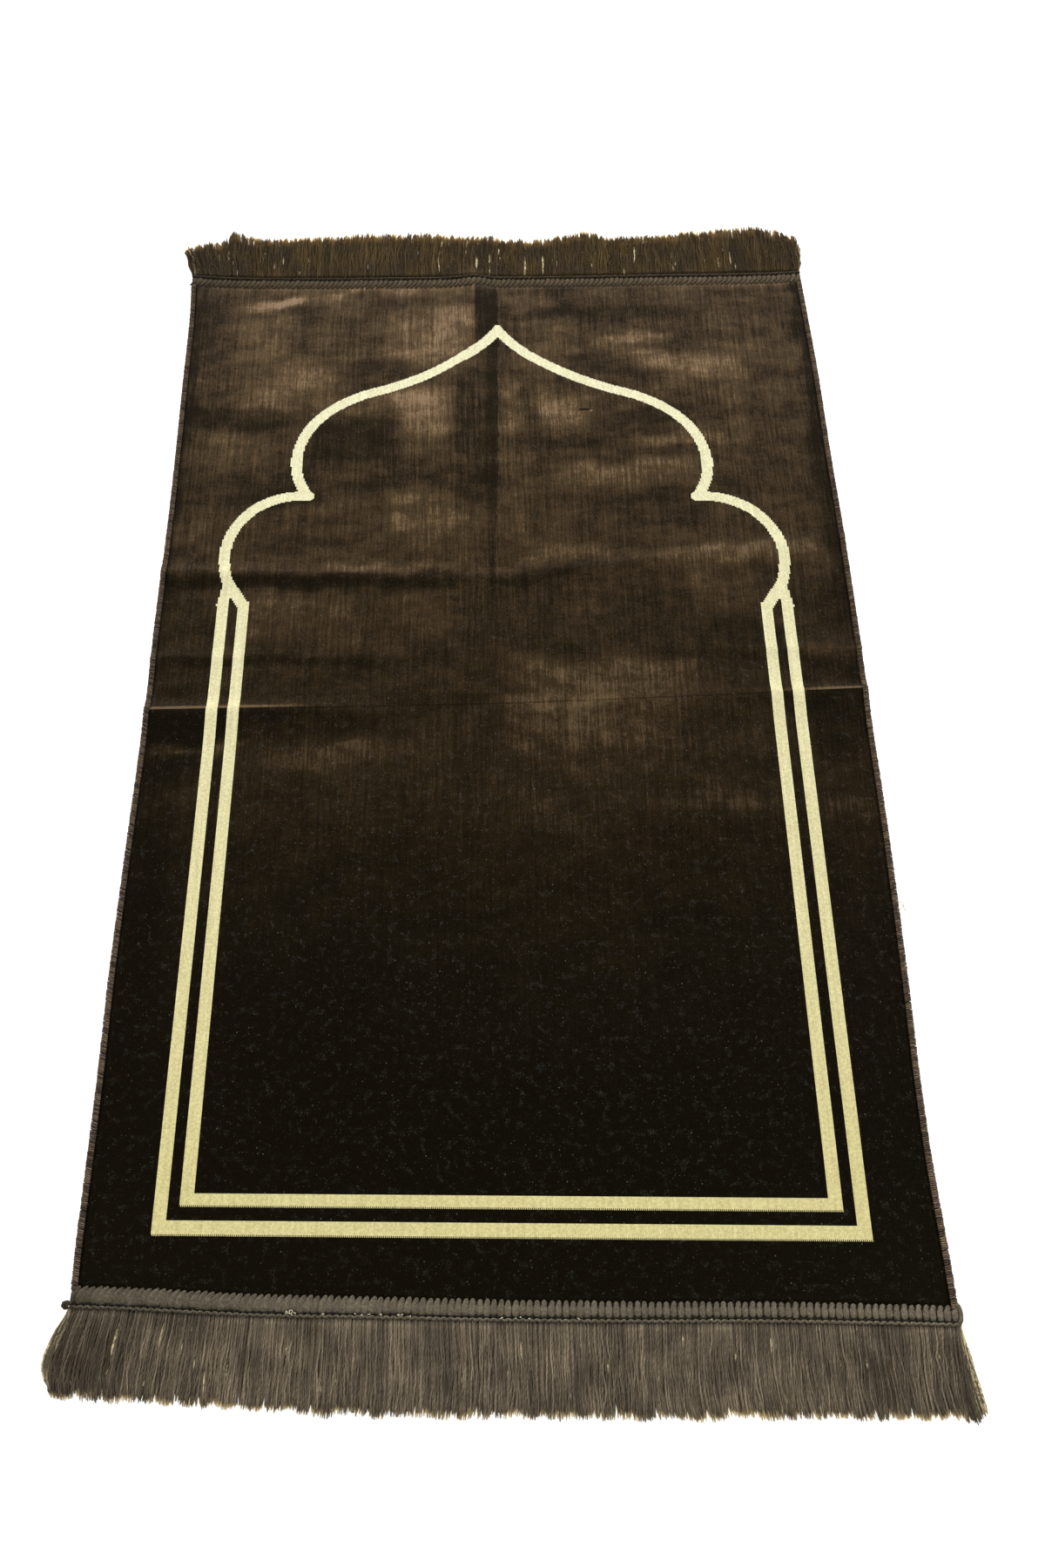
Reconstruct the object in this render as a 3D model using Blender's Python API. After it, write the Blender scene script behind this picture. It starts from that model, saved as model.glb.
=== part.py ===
"""A prayer rug: a velvet cloth with a fringed heading on each short end.

The rug lies flat on the floor with its pile up. The origin is the middle of its
underside. +X runs across the rug, +Y along it towards the point of the arch, and
+Z up. Sizes are named in millimetres, and MM turns them into Blender's metres.
"""

import bisect
import math
import random
from collections import namedtuple

import bmesh
import bpy

MM = 0.001

# The cloth: ground weave and pile together.
CLOTH_THICKNESS = 3.0
PIECE_GAP = 0.45
FLOOR = 0.0

# The serged edges: yarn wound over the cloth's two long sides.
EDGE_WIDTH = 5.0
EDGE_HEIGHT = 3.3
EDGE_SHOULDER_HEIGHT = 2.1
EDGE_ROUNDING = 1.3

# The headings: a row of plump loops, a stitched groove and a thin cord.
HEADING_WIDTH = 15.0
LOOPS_PER_END = 124
LOOP_SHARE = 0.78
LOOP_CREST_SHARE = 0.45
GROOVE_FROM_INSIDE = 11.0
GROOVE_HEIGHT = 2.3
CORD_HEIGHT = 2.9
# Each loop in three sections, at its left side, its crest and its right side: how
# far the loop stays back from the inner edge, and how high it stands.
Loop = namedtuple("Loop", "notch height")
LOOP_LEFT = Loop(1.7, 2.7)
LOOP_MIDDLE = Loop(0.0, 4.0)
LOOP_RIGHT = Loop(0.7, 3.5)
# Places of corners in a heading's outline: the loop's nose, and the cord, after which
# only the cord's foot follows.
NOSE = 1
CORD = 3

# The fringe: one lock of yarn below each loop. Each row is a section of a lock: its
# share of the way from the heading to the tip, its width and its height.
LockSection = namedtuple("LockSection", "share width height")
LOCK_SECTIONS = (
    LockSection(0.33, 4.4, 2.3),
    LockSection(0.68, 4.1, 1.8),
    LockSection(1.0, 2.9, 1.1),
)
TUFT_SIZES = (5, 11)
TUFT_GATHER = 0.55
TUFT_ROUNDING = 4.0
LOCK_SWAY = 0.5
TIP_RAGGEDNESS = 2.2
TIP_SLANT = 1.6
FRINGE_SEED = 17

# Plain cells of the cloth's mesh on each side of the long crease, and the shares of
# its width where they end and start again.
COLUMNS_LEFT = 8
COLUMNS_RIGHT = 10
LEFT_COLUMNS_END = 0.34
RIGHT_COLUMNS_START = 0.55
CROSSING_TURNS = 6

# Where the two long sides run: the distance along the rug, then each side's X.
Side = namedtuple("Side", "y left right")
SIDES = (
    Side(-555.0, -347.4, 349.6),
    Side(-500.0, -348.8, 348.6),
    Side(-430.0, -348.8, 346.4),
    Side(-360.0, -349.2, 346.8),
    Side(-280.0, -350.6, 349.0),
    Side(-160.0, -350.2, 351.0),
    Side(-20.0, -349.2, 351.2),
    Side(90.0, -350.5, 352.1),
    Side(200.0, -350.4, 351.6),
    Side(300.0, -351.9, 350.2),
    Side(400.0, -354.2, 349.7),
    Side(480.0, -355.6, 347.6),
    Side(560.0, -360.6, 345.4),
)

# Where the middle of each heading runs: the distance across, then each end's Y.
Heading = namedtuple("Heading", "x front back")
HEADINGS = (
    Heading(-362.0, -540.3, 543.0),
    Heading(-310.0, -541.2, 538.6),
    Heading(-200.0, -545.3, 537.4),
    Heading(-110.0, -546.0, 538.2),
    Heading(0.0, -547.2, 539.0),
    Heading(100.0, -547.2, 540.0),
    Heading(200.0, -546.3, 541.8),
    Heading(300.0, -547.0, 544.0),
    Heading(352.0, -547.8, 547.0),
)

# Creases across the rug, left where it was folded: the Y of the crest at the left
# side, the middle and the right side, its height at each, and the width of its
# two slopes, towards the front and towards the back.
CrossFold = namedtuple("CrossFold", "y_left y_middle y_right left middle right front back")
CROSS_FOLDS = (
    CrossFold(-20.5, -10.0, 5.6, 4.0, 0.0, 3.0, 38.0, 13.0),
    CrossFold(38.0, 44.0, 52.0, 1.5, 0.0, 1.6, 12.0, 12.0),
    CrossFold(139.0, 133.0, 184.0, 3.0, 1.5, 1.0, 24.0, 14.0),
)
# A crease's slopes are curved: this power shapes them, in this many cells each.
SLOPE_CURVE = 1.5
SLOPE_CELLS = 3
# Plain cells of the cloth's mesh in front of each crease, and behind the last one.
ROWS_IN_FRONT = (10, 1, 2)
ROWS_BEHIND = 9
FOLD_SIDE_X = 350.0
FOLD_EVEN_X = 80.0

# The crease along the rug: at each distance, the X of its left foot, its crest and
# its right foot, and its height.
LongFold = namedtuple("LongFold", "y left crest right height")
LONG_FOLD = (
    LongFold(90.0, -72.0, -42.0, -9.5, 0.0),
    LongFold(200.0, -85.0, -50.0, -8.0, 1.0),
    LongFold(300.0, -92.0, -53.0, -6.5, 2.0),
    LongFold(400.0, -90.0, -50.0, -4.6, 3.0),
    LongFold(470.0, -76.0, -31.0, -4.0, 3.8),
    LongFold(560.0, -72.0, -31.0, -3.4, 4.6),
)

# How the fringes lie: at each distance across, how far the locks reach from their
# heading, and how far their middles and their tips lean to the right.
Lay = namedtuple("Lay", "x reach middle tip")
FRONT_LAY = (
    Lay(-348.0, 53.0, -11.0, -14.0),
    Lay(-325.0, 61.0, -7.0, -9.5),
    Lay(-240.0, 62.5, -3.0, -4.0),
    Lay(-120.0, 66.0, 0.5, -0.5),
    Lay(0.0, 65.0, 1.0, 0.0),
    Lay(120.0, 64.5, -1.0, 0.5),
    Lay(250.0, 64.0, 0.0, 2.0),
    Lay(325.0, 62.5, 1.0, 3.5),
    Lay(350.0, 57.0, 4.0, 9.0),
)
BACK_LAY = (
    Lay(-362.0, 44.0, -7.0, -14.5),
    Lay(-340.0, 55.0, -6.0, -12.0),
    Lay(-318.0, 71.0, -4.0, -7.5),
    Lay(-270.0, 62.0, -1.0, -3.0),
    Lay(-140.0, 70.0, -1.0, 0.0),
    Lay(-20.0, 64.0, 0.0, 1.5),
    Lay(40.0, 57.0, 0.5, 0.0),
    Lay(100.0, 69.0, 1.0, 1.0),
    Lay(130.0, 61.0, 0.5, 0.5),
    Lay(230.0, 67.0, 0.0, 0.5),
    Lay(298.0, 73.0, 0.5, 0.0),
    Lay(346.0, 57.0, 0.5, 0.5),
)

# One fringe's end of the rug: its name, its column in HEADINGS, the way it points
# along Y, and how it lies.
End = namedtuple("End", "name column outwards lay")
ENDS = (
    End("fringe_front", "front", -1.0, FRONT_LAY),
    End("fringe_back", "back", 1.0, BACK_LAY),
)

# Finishes: linear colour and roughness.
Finish = namedtuple("Finish", "colour roughness")
VELVET = Finish((0.018, 0.012, 0.008, 1.0), 0.85)
FRINGE_YARN = Finish((0.072, 0.058, 0.044, 1.0), 0.8)
SERGING_YARN = Finish((0.060, 0.046, 0.040, 1.0), 0.8)
SHARP_ANGLE = math.radians(35.0)


def read(rows, column, at):
    """Read a table's column at any place, on a smooth curve through its rows."""
    places = [row[0] for row in rows]
    values = [getattr(row, column) for row in rows]
    last = len(rows) - 1
    at = min(max(at, places[0]), places[last])
    low = min(bisect.bisect_right(places, at), last) - 1
    run = places[low + 1] - places[low]
    share = (at - places[low]) / run

    def slope(index):
        before, after = max(index - 1, 0), min(index + 1, last)
        return (values[after] - values[before]) / (places[after] - places[before])

    ease = share * share * (3.0 - 2.0 * share)
    start_pull = share * (1.0 - share) ** 2 * slope(low) * run
    end_pull = share * share * (1.0 - share) * slope(low + 1) * run
    return values[low] + (values[low + 1] - values[low]) * ease + start_pull - end_pull


def across(left, middle, right, x, even=0.0):
    """Blend values given at the left side, an even stretch in the middle and the right side."""
    side = left if x < 0.0 else right
    share = (abs(x) - even) / (FOLD_SIDE_X - even)
    return middle + (side - middle) * min(max(share, 0.0), 1.0)


def slopes(distance, front, back):
    """Height share of a crease: 1 on its crest, 0 past the foot of either slope."""
    foot = back if distance > 0.0 else front
    return max(1.0 - abs(distance) / foot, 0.0) ** SLOPE_CURVE


def crest_y(fold, x):
    """Where a crease across the rug has its crest."""
    return across(fold.y_left, fold.y_middle, fold.y_right, x)


def lift(x, y):
    """How far the creases hold the cloth's underside off the floor."""
    height = FLOOR
    for fold in CROSS_FOLDS:
        crest = across(fold.left, fold.middle, fold.right, x, FOLD_EVEN_X)
        height = max(height, crest * slopes(y - crest_y(fold, x), fold.front, fold.back))
    crest = read(LONG_FOLD, "crest", y)
    left_slope = crest - read(LONG_FOLD, "left", y)
    right_slope = read(LONG_FOLD, "right", y) - crest
    long_height = read(LONG_FOLD, "height", y) if y > LONG_FOLD[0].y else 0.0
    return max(height, long_height * slopes(x - crest, left_slope, right_slope))


def point(x, y, z):
    """A point in Blender's metres from millimetres."""
    return (x * MM, y * MM, z * MM)


def heading_edge(column, outwards, x, share):
    """Y of a line along a heading, from its inner edge (0) to its outer one (1)."""
    return read(HEADINGS, column, x) + outwards * HEADING_WIDTH * (share - 0.5)


def cloth_rows():
    """Lines across the cloth, front to back, each a function from X to Y."""
    def front_end(x):
        return heading_edge("front", -1.0, x, 0.0) + PIECE_GAP

    def back_end(x):
        return heading_edge("back", 1.0, x, 0.0) - PIECE_GAP

    rows = [front_end]
    for fold, cells in zip(CROSS_FOLDS, ROWS_IN_FRONT):
        rows += lines_between(rows[-1], lambda x, f=fold: crest_y(f, x) - f.front, cells)
        rows += lines_between(rows[-1], lambda x, f=fold: crest_y(f, x), SLOPE_CELLS)
        rows += lines_between(rows[-1], lambda x, f=fold: crest_y(f, x) + f.back, SLOPE_CELLS)
    rows += lines_between(rows[-1], back_end, ROWS_BEHIND)
    return rows


def lines_between(start, end, cells):
    """Evenly spaced lines after start, up to and including end."""
    def line(share):
        return lambda at: start(at) + (end(at) - start(at)) * share

    return [line((index + 1) / cells) for index in range(cells)]


def cloth_columns():
    """Lines along the cloth, left to right, each a function from Y to X."""
    def left_side(y):
        return read(SIDES, "left", y) + EDGE_WIDTH + PIECE_GAP

    def right_side(y):
        return read(SIDES, "right", y) - EDGE_WIDTH - PIECE_GAP

    def plain(share):
        return lambda y: left_side(y) + (right_side(y) - left_side(y)) * share

    def along_fold(name):
        return lambda y: read(LONG_FOLD, name, y)

    columns = [plain(0.0)] + lines_between(plain(0.0), plain(LEFT_COLUMNS_END), COLUMNS_LEFT)
    columns.append(along_fold("left"))
    columns += lines_between(columns[-1], along_fold("crest"), SLOPE_CELLS)
    columns += lines_between(columns[-1], along_fold("right"), SLOPE_CELLS)
    columns.append(plain(RIGHT_COLUMNS_START))
    columns += lines_between(columns[-1], plain(1.0), COLUMNS_RIGHT)
    return columns


def crossing(column, row):
    """The point where a line along the cloth meets a line across it, closed in on by turns."""
    x, y = 0.0, 0.0
    for _ in range(CROSSING_TURNS):
        y = row(x)
        x = column(y)
    return x, y


def build_cloth():
    """The velvet cloth: one sheet of even thickness, lifted a little along its creases."""
    rows, columns = cloth_rows(), cloth_columns()
    mesh = bmesh.new()
    bmesh.ops.create_grid(mesh, x_segments=len(columns) - 1, y_segments=len(rows) - 1, size=0.5)
    mesh.verts.ensure_lookup_table()
    for vert in mesh.verts:
        column = round((vert.co.x + 0.5) * (len(columns) - 1))
        row = round((vert.co.y + 0.5) * (len(rows) - 1))
        x, y = crossing(columns[column], rows[row])
        vert.co = point(x, y, lift(x, y))
    grown = bmesh.ops.extrude_face_region(mesh, geom=mesh.faces[:], use_keep_orig=True)
    top = [item for item in grown["geom"] if isinstance(item, bmesh.types.BMVert)]
    bmesh.ops.translate(mesh, verts=top, vec=point(0.0, 0.0, CLOTH_THICKNESS))
    return finish("velvet_cloth", mesh, VELVET)


def sweep(mesh, sections):
    """Extrude a closed outline through its sections, and return each section's points."""
    rings = [[mesh.verts.new(corner) for corner in sections[0]]]
    face = mesh.faces.new(rings[0])
    for section in sections[1:]:
        face = extrude_to(mesh, face, section)
        rings.append([loop.vert for loop in face.loops])
    mesh.faces.new(reversed(rings[0]))
    return rings


def extrude_to(mesh, face, corners):
    """Extrude one face, and set its new corners in the order of the old ones."""
    grown = bmesh.ops.extrude_discrete_faces(mesh, faces=[face])["faces"][0]
    for loop, corner in zip(grown.loops, corners):
        loop.vert.co = corner
    return grown


def edge_section(side, inwards, y):
    """Outline of a serged edge: flat below, with rounded shoulders."""
    outer = read(SIDES, side, y)
    base = lift(outer, y)
    profile = (
        (0.0, 0.0),
        (EDGE_WIDTH, 0.0),
        (EDGE_WIDTH, EDGE_SHOULDER_HEIGHT),
        (EDGE_WIDTH - EDGE_ROUNDING, EDGE_HEIGHT),
        (EDGE_ROUNDING, EDGE_HEIGHT),
        (0.0, EDGE_SHOULDER_HEIGHT),
    )
    return [point(outer + inwards * across_edge, y, base + z) for across_edge, z in profile]


def build_edge(side, inwards):
    """One serged edge, from heading to heading along a long side."""
    mesh = bmesh.new()
    stations = [crossing(lambda y: read(SIDES, side, y), row)[1] for row in cloth_rows()]
    sweep(mesh, [edge_section(side, inwards, y) for y in stations])
    return finish("serged_edge_" + side, mesh, SERGING_YARN)


def heading_section(end, x, loop):
    """Outline of a heading, whose inner top edge rises and falls with the loops."""
    profile = (
        (0.0, 0.0),
        (loop.notch, loop.height),
        (GROOVE_FROM_INSIDE, GROOVE_HEIGHT),
        (HEADING_WIDTH, CORD_HEIGHT),
        (HEADING_WIDTH, 0.0),
    )
    inner = heading_edge(end.column, end.outwards, x, 0.0)
    base = lift(x, inner)
    return [point(x, inner + end.outwards * out, base + z) for out, z in profile]


def loop_sides(end):
    """X of both sides of each loop, from the left end of a heading to its right one."""
    middle_y = read(HEADINGS, end.column, 0.0)
    left = read(SIDES, "left", middle_y)
    pitch = (read(SIDES, "right", middle_y) - left) / LOOPS_PER_END
    starts = [left + pitch * index for index in range(LOOPS_PER_END)]
    return [(start, start + pitch * LOOP_SHARE) for start in starts]


def raise_loop(mesh, end, left_ring, right_ring):
    """Split a loop's inner top edge, and lift the new point to the loop's crest."""
    nose = mesh.edges.get((left_ring[NOSE], right_ring[NOSE]))
    crest = bmesh.utils.edge_split(nose, left_ring[NOSE], LOOP_CREST_SHARE)[1]
    crest.co = heading_section(end, crest.co.x / MM, LOOP_MIDDLE)[NOSE]


def tuft_offsets(draw):
    """Each lock's place in its tuft, in locks from the tuft's middle, and the tuft's half width."""
    places = []
    while len(places) < LOOPS_PER_END:
        size = draw.randint(*TUFT_SIZES)
        half = (size - 1) / 2.0
        places += [(index - half, half) for index in range(size)]
    return places[:LOOPS_PER_END]


def lock_section(root, x, y, section, slant):
    """Corners of a lock's section, in the order of its root's corners."""
    middle_x = sum(corner.x for corner in root) / len(root)
    middle_z = sum(corner.z for corner in root) / len(root)
    corners = []
    for corner in root:
        side = 0.5 if corner.x > middle_x else -0.5
        top = section.height if corner.z > middle_z else 0.0
        corners.append(point(x + side * section.width, y + side * slant, FLOOR + top))
    return corners


def grow_lock(mesh, end, face, place, draw):
    """Extrude one lock from its root in the heading to its ragged tip on the floor."""
    root = [vert.co.copy() for vert in face.verts]
    root_x = sum(corner.x for corner in root) / len(root) / MM
    root_y = sum(corner.y for corner in root) / len(root) / MM
    offset, half = place
    reach = read(end.lay, "reach", root_x) - TUFT_ROUNDING * (offset / half) ** 2
    reach += draw.uniform(-TIP_RAGGEDNESS, TIP_RAGGEDNESS)
    slant = end.outwards * draw.uniform(-TIP_SLANT, TIP_SLANT)
    sway = draw.uniform(-LOCK_SWAY, LOCK_SWAY) - TUFT_GATHER * offset
    middle = read(end.lay, "middle", root_x)
    tip = read(end.lay, "tip", root_x)
    for section in LOCK_SECTIONS:
        share = section.share
        lean = share * (4.0 * middle - tip) + 2.0 * share * share * (tip - 2.0 * middle)
        x = root_x + lean + sway * share * share
        y = root_y + end.outwards * reach * share
        tip_slant = slant if section is LOCK_SECTIONS[-1] else 0.0
        face = extrude_to(mesh, face, lock_section(root, x, y, section, tip_slant))


def build_fringe(end, seed):
    """One fringe: its heading, and a lock of yarn below each of the heading's loops."""
    mesh = bmesh.new()
    sections = []
    for left, right in loop_sides(end):
        sections.append(heading_section(end, left, LOOP_LEFT))
        sections.append(heading_section(end, right, LOOP_RIGHT))
    rings = sweep(mesh, sections)
    draw = random.Random(seed)
    for index, place in enumerate(tuft_offsets(draw)):
        left_ring, right_ring = rings[2 * index], rings[2 * index + 1]
        raise_loop(mesh, end, left_ring, right_ring)
        wall = left_ring[CORD:] + right_ring[CORD:][::-1]
        root = mesh.faces.get(wall)
        grow_lock(mesh, end, root, place, draw)
    return finish(end.name, mesh, FRINGE_YARN)


def finish(name, mesh, look):
    """Close up a piece's mesh, and make it an object with a material of its own."""
    bmesh.ops.recalc_face_normals(mesh, faces=mesh.faces[:])
    data = bpy.data.meshes.new(name)
    mesh.to_mesh(data)
    mesh.free()
    data.shade_smooth()
    data.set_sharp_from_angle(angle=SHARP_ANGLE)
    material = bpy.data.materials.new(name)
    material.use_nodes = True
    shader = material.node_tree.nodes["Principled BSDF"]
    shader.inputs["Base Color"].default_value = look.colour
    shader.inputs["Roughness"].default_value = look.roughness
    shader.inputs["Metallic"].default_value = 0.0
    data.materials.append(material)
    piece = bpy.data.objects.new(name, data)
    bpy.context.scene.collection.objects.link(piece)
    return piece


def main():
    """Clear the scene, and build the rug's five pieces."""
    for thing in list(bpy.data.objects):
        bpy.data.objects.remove(thing, do_unlink=True)
    build_cloth()
    build_edge("left", 1.0)
    build_edge("right", -1.0)
    for order, end in enumerate(ENDS):
        build_fringe(end, FRINGE_SEED + order)


main()
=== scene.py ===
"""The looks of a prayer rug: velvet pile, serged sides, looped headings and yarn fringes.

Sizes are in millimetres unless a name says otherwise, and MM turns them into Blender's
metres. The rug lies on the floor with its pile up: +X runs across it, +Y along it
towards the point of the arch, and the origin is the middle of its underside.
"""

import bisect
import math
import random
from collections import namedtuple

import bmesh
import bpy
from mathutils import Matrix, Vector, noise


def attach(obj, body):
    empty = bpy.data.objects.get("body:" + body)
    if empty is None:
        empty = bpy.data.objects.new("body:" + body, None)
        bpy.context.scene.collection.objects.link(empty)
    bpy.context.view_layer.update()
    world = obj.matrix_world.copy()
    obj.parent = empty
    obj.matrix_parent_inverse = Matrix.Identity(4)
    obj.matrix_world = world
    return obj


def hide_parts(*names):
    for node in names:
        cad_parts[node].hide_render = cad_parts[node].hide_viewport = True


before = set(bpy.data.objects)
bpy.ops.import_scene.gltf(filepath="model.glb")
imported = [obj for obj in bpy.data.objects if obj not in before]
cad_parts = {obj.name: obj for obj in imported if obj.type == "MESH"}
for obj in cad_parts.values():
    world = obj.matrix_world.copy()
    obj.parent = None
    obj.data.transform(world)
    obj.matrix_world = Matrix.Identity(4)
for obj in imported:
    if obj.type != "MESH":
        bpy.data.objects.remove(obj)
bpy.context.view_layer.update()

MM = 0.001
PER_METRE = 1000.0

# The cloth: how far it runs on under its trim, how far apart its mesh's lines are at most,
# and the size of one knot of its pile.
CLOTH_THICKNESS = 3.0
CLOTH_TUCK = 0.5
CELL = 6.5
KNOT_WIDTH = 1.6
KNOT_LENGTH = 1.3

EDGE_WIDTH = 5.0
HEADING_WIDTH = 15.0
LOOPS_PER_END = 124
TAPE_HEIGHT = 2.2

# Where the two long sides run: the distance along the rug, then each side's X.
Side = namedtuple("Side", "y left right")
SIDES = (
    Side(-555.0, -347.4, 349.6),
    Side(-500.0, -348.8, 348.6),
    Side(-430.0, -348.8, 346.4),
    Side(-360.0, -349.2, 346.8),
    Side(-280.0, -350.6, 349.0),
    Side(-160.0, -350.2, 351.0),
    Side(-20.0, -349.2, 351.2),
    Side(90.0, -350.5, 352.1),
    Side(200.0, -350.4, 351.6),
    Side(300.0, -351.9, 350.2),
    Side(400.0, -354.2, 349.7),
    Side(480.0, -355.6, 347.6),
    Side(560.0, -360.6, 345.4),
)

# Where the middle of each heading runs: the distance across, then each end's Y.
Heading = namedtuple("Heading", "x front back")
HEADINGS = (
    Heading(-362.0, -540.3, 543.0),
    Heading(-310.0, -541.2, 538.6),
    Heading(-200.0, -545.3, 537.4),
    Heading(-110.0, -546.0, 538.2),
    Heading(0.0, -547.2, 539.0),
    Heading(100.0, -547.2, 540.0),
    Heading(200.0, -546.3, 541.8),
    Heading(300.0, -547.0, 544.0),
    Heading(352.0, -547.8, 547.0),
)

# Creases across the rug: the Y of the crest at the left side, the middle and the
# right side, its height at each, and the width of its front and back slopes.
CrossFold = namedtuple("CrossFold", "y_left y_middle y_right left middle right front back")
CROSS_FOLDS = (
    CrossFold(-20.5, -10.0, 5.6, 4.0, 0.0, 3.0, 38.0, 13.0),
    CrossFold(38.0, 44.0, 52.0, 1.5, 0.0, 1.6, 12.0, 12.0),
    CrossFold(139.0, 133.0, 184.0, 3.0, 1.5, 1.0, 24.0, 14.0),
)
SLOPE_CURVE = 1.5
FOLD_SIDE_X = 350.0
FOLD_EVEN_X = 80.0

# The crease along the rug: the X of its left foot, its crest and its right foot, and
# its height.
LongFold = namedtuple("LongFold", "y left crest right height")
LONG_FOLD = (
    LongFold(90.0, -72.0, -42.0, -9.5, 0.0),
    LongFold(200.0, -85.0, -50.0, -8.0, 1.0),
    LongFold(300.0, -92.0, -53.0, -6.5, 2.0),
    LongFold(400.0, -90.0, -50.0, -4.6, 3.0),
    LongFold(470.0, -76.0, -31.0, -4.0, 3.8),
    LongFold(560.0, -72.0, -31.0, -3.4, 4.6),
)

# How the fringes lie: how far the yarns reach from their heading, and how far their
# middles and their tips lean to the right.
Lay = namedtuple("Lay", "x reach middle tip")
FRONT_LAY = (
    Lay(-348.0, 62.0, -11.0, -6.5),
    Lay(-325.0, 62.5, -6.5, -6.0),
    Lay(-240.0, 62.5, -3.0, -4.0),
    Lay(-120.0, 66.0, 0.5, -0.5),
    Lay(0.0, 65.0, 1.0, 0.0),
    Lay(120.0, 64.5, -1.0, 0.5),
    Lay(250.0, 64.0, 0.0, 2.0),
    Lay(325.0, 62.5, -0.5, 1.5),
    Lay(350.0, 62.5, -1.5, 2.5),
)
BACK_LAY = (
    Lay(-362.0, 38.0, -7.0, -14.5),
    Lay(-340.0, 52.0, -6.0, -12.0),
    Lay(-321.0, 56.0, -5.0, -9.0),
    Lay(-311.0, 72.0, -3.5, -7.0),
    Lay(-290.0, 66.0, -2.0, -4.5),
    Lay(-270.0, 62.0, -1.0, -3.0),
    Lay(-140.0, 70.0, -1.0, 0.0),
    Lay(-20.0, 64.0, 0.0, 1.5),
    Lay(40.0, 57.0, 0.5, 0.0),
    Lay(100.0, 69.0, 1.0, 1.0),
    Lay(130.0, 61.0, 0.5, 0.5),
    Lay(230.0, 67.0, 0.0, 0.5),
    Lay(298.0, 73.0, 0.5, 0.0),
    Lay(346.0, 57.0, 0.5, 0.5),
)

# One end of the rug: its name, the solid it stands for, the way it points along Y,
# how its fringe lies, and its seed.
End = namedtuple("End", "name node outwards lay seed")
ENDS = (
    End("front", "fringe_front", -1.0, FRONT_LAY, 31),
    End("back", "fringe_back", 1.0, BACK_LAY, 32),
)


# ---- Where things lie ----


def curve(rows, column):
    """A function that reads a table's column at any place, on a smooth curve through its rows."""
    places = [row[0] for row in rows]
    values = [getattr(row, column) for row in rows]
    last = len(rows) - 1
    tilts = []
    for index in range(len(rows)):
        before, after = max(index - 1, 0), min(index + 1, last)
        tilts.append((values[after] - values[before]) / (places[after] - places[before]))

    def at(place):
        place = min(max(place, places[0]), places[last])
        low = min(bisect.bisect_right(places, place), last) - 1
        run = places[low + 1] - places[low]
        share = (place - places[low]) / run
        ease = share * share * (3.0 - 2.0 * share)
        start_pull = share * (1.0 - share) ** 2 * tilts[low] * run
        end_pull = share * share * (1.0 - share) * tilts[low + 1] * run
        return values[low] + (values[low + 1] - values[low]) * ease + start_pull - end_pull

    return at


side_x = {side: curve(SIDES, side) for side in ("left", "right")}
heading_y = {end.name: curve(HEADINGS, end.name) for end in ENDS}
long_fold = {name: curve(LONG_FOLD, name) for name in ("left", "crest", "right", "height")}


def across(left, middle, right, x, even=0.0):
    """Blend values given at the left side, an even stretch in the middle and the right side."""
    side = left if x < 0.0 else right
    share = (abs(x) - even) / (FOLD_SIDE_X - even)
    return middle + (side - middle) * min(max(share, 0.0), 1.0)


def slopes(distance, front, back):
    """Height share of a crease: 1 on its crest, 0 past the foot of either slope."""
    foot = back if distance > 0.0 else front
    return max(1.0 - abs(distance) / foot, 0.0) ** SLOPE_CURVE


def crest_y(fold, x):
    """Where a crease across the rug has its crest."""
    return across(fold.y_left, fold.y_middle, fold.y_right, x)


def crease_height(x, y):
    """How far the creases hold the cloth's underside off the floor."""
    height = 0.0
    for fold in CROSS_FOLDS:
        crest = across(fold.left, fold.middle, fold.right, x, FOLD_EVEN_X)
        height = max(height, crest * slopes(y - crest_y(fold, x), fold.front, fold.back))
    if y < LONG_FOLD[0].y:
        return height
    crest = long_fold["crest"](y)
    left_slope = crest - long_fold["left"](y)
    right_slope = long_fold["right"](y) - crest
    return max(height, long_fold["height"](y) * slopes(x - crest, left_slope, right_slope))


RIPPLE_HEIGHT = 0.7
RIPPLE_X = 95.0
RIPPLE_Y = 60.0


def lift(x, y):
    """Height of the cloth's underside: the creases, and soft ripples over the whole cloth."""
    ripple = 0.5 + 0.5 * noise.noise(Vector((x / RIPPLE_X, y / RIPPLE_Y, 3.7)))
    return crease_height(x, y) + RIPPLE_HEIGHT * ripple


def heading_edge(end, x, share):
    """Y of a line along a heading, from its inner edge (0) to its outer one (1)."""
    return heading_y[end.name](x) + end.outwards * HEADING_WIDTH * (share - 0.5)


def heading_base(end, x):
    """Height of the cloth's underside along a heading."""
    return lift(x, heading_edge(end, x, 0.0))


def metres(x, y, z):
    """A point in Blender's metres from millimetres."""
    return Vector((x * MM, y * MM, z * MM))


# ---- Pieces ----


def finish_piece(name, mesh, materials, node):
    """Make a mesh a piece of the rug that stands for a solid of the frame."""
    bmesh.ops.recalc_face_normals(mesh, faces=mesh.faces[:])
    data = bpy.data.meshes.new(name)
    mesh.to_mesh(data)
    mesh.free()
    data.shade_smooth()
    for material in materials:
        data.materials.append(material)
    piece = bpy.data.objects.new(name, data)
    bpy.context.scene.collection.objects.link(piece)
    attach(piece, "root")
    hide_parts(node)
    return piece


def lines_between(start, end, cells):
    """Evenly spaced lines after start, up to and including end."""
    def line(share):
        def at(place):
            first = start(place)
            return first + (end(place) - first) * share
        return at

    return [line((index + 1) / cells) for index in range(cells)]


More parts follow.
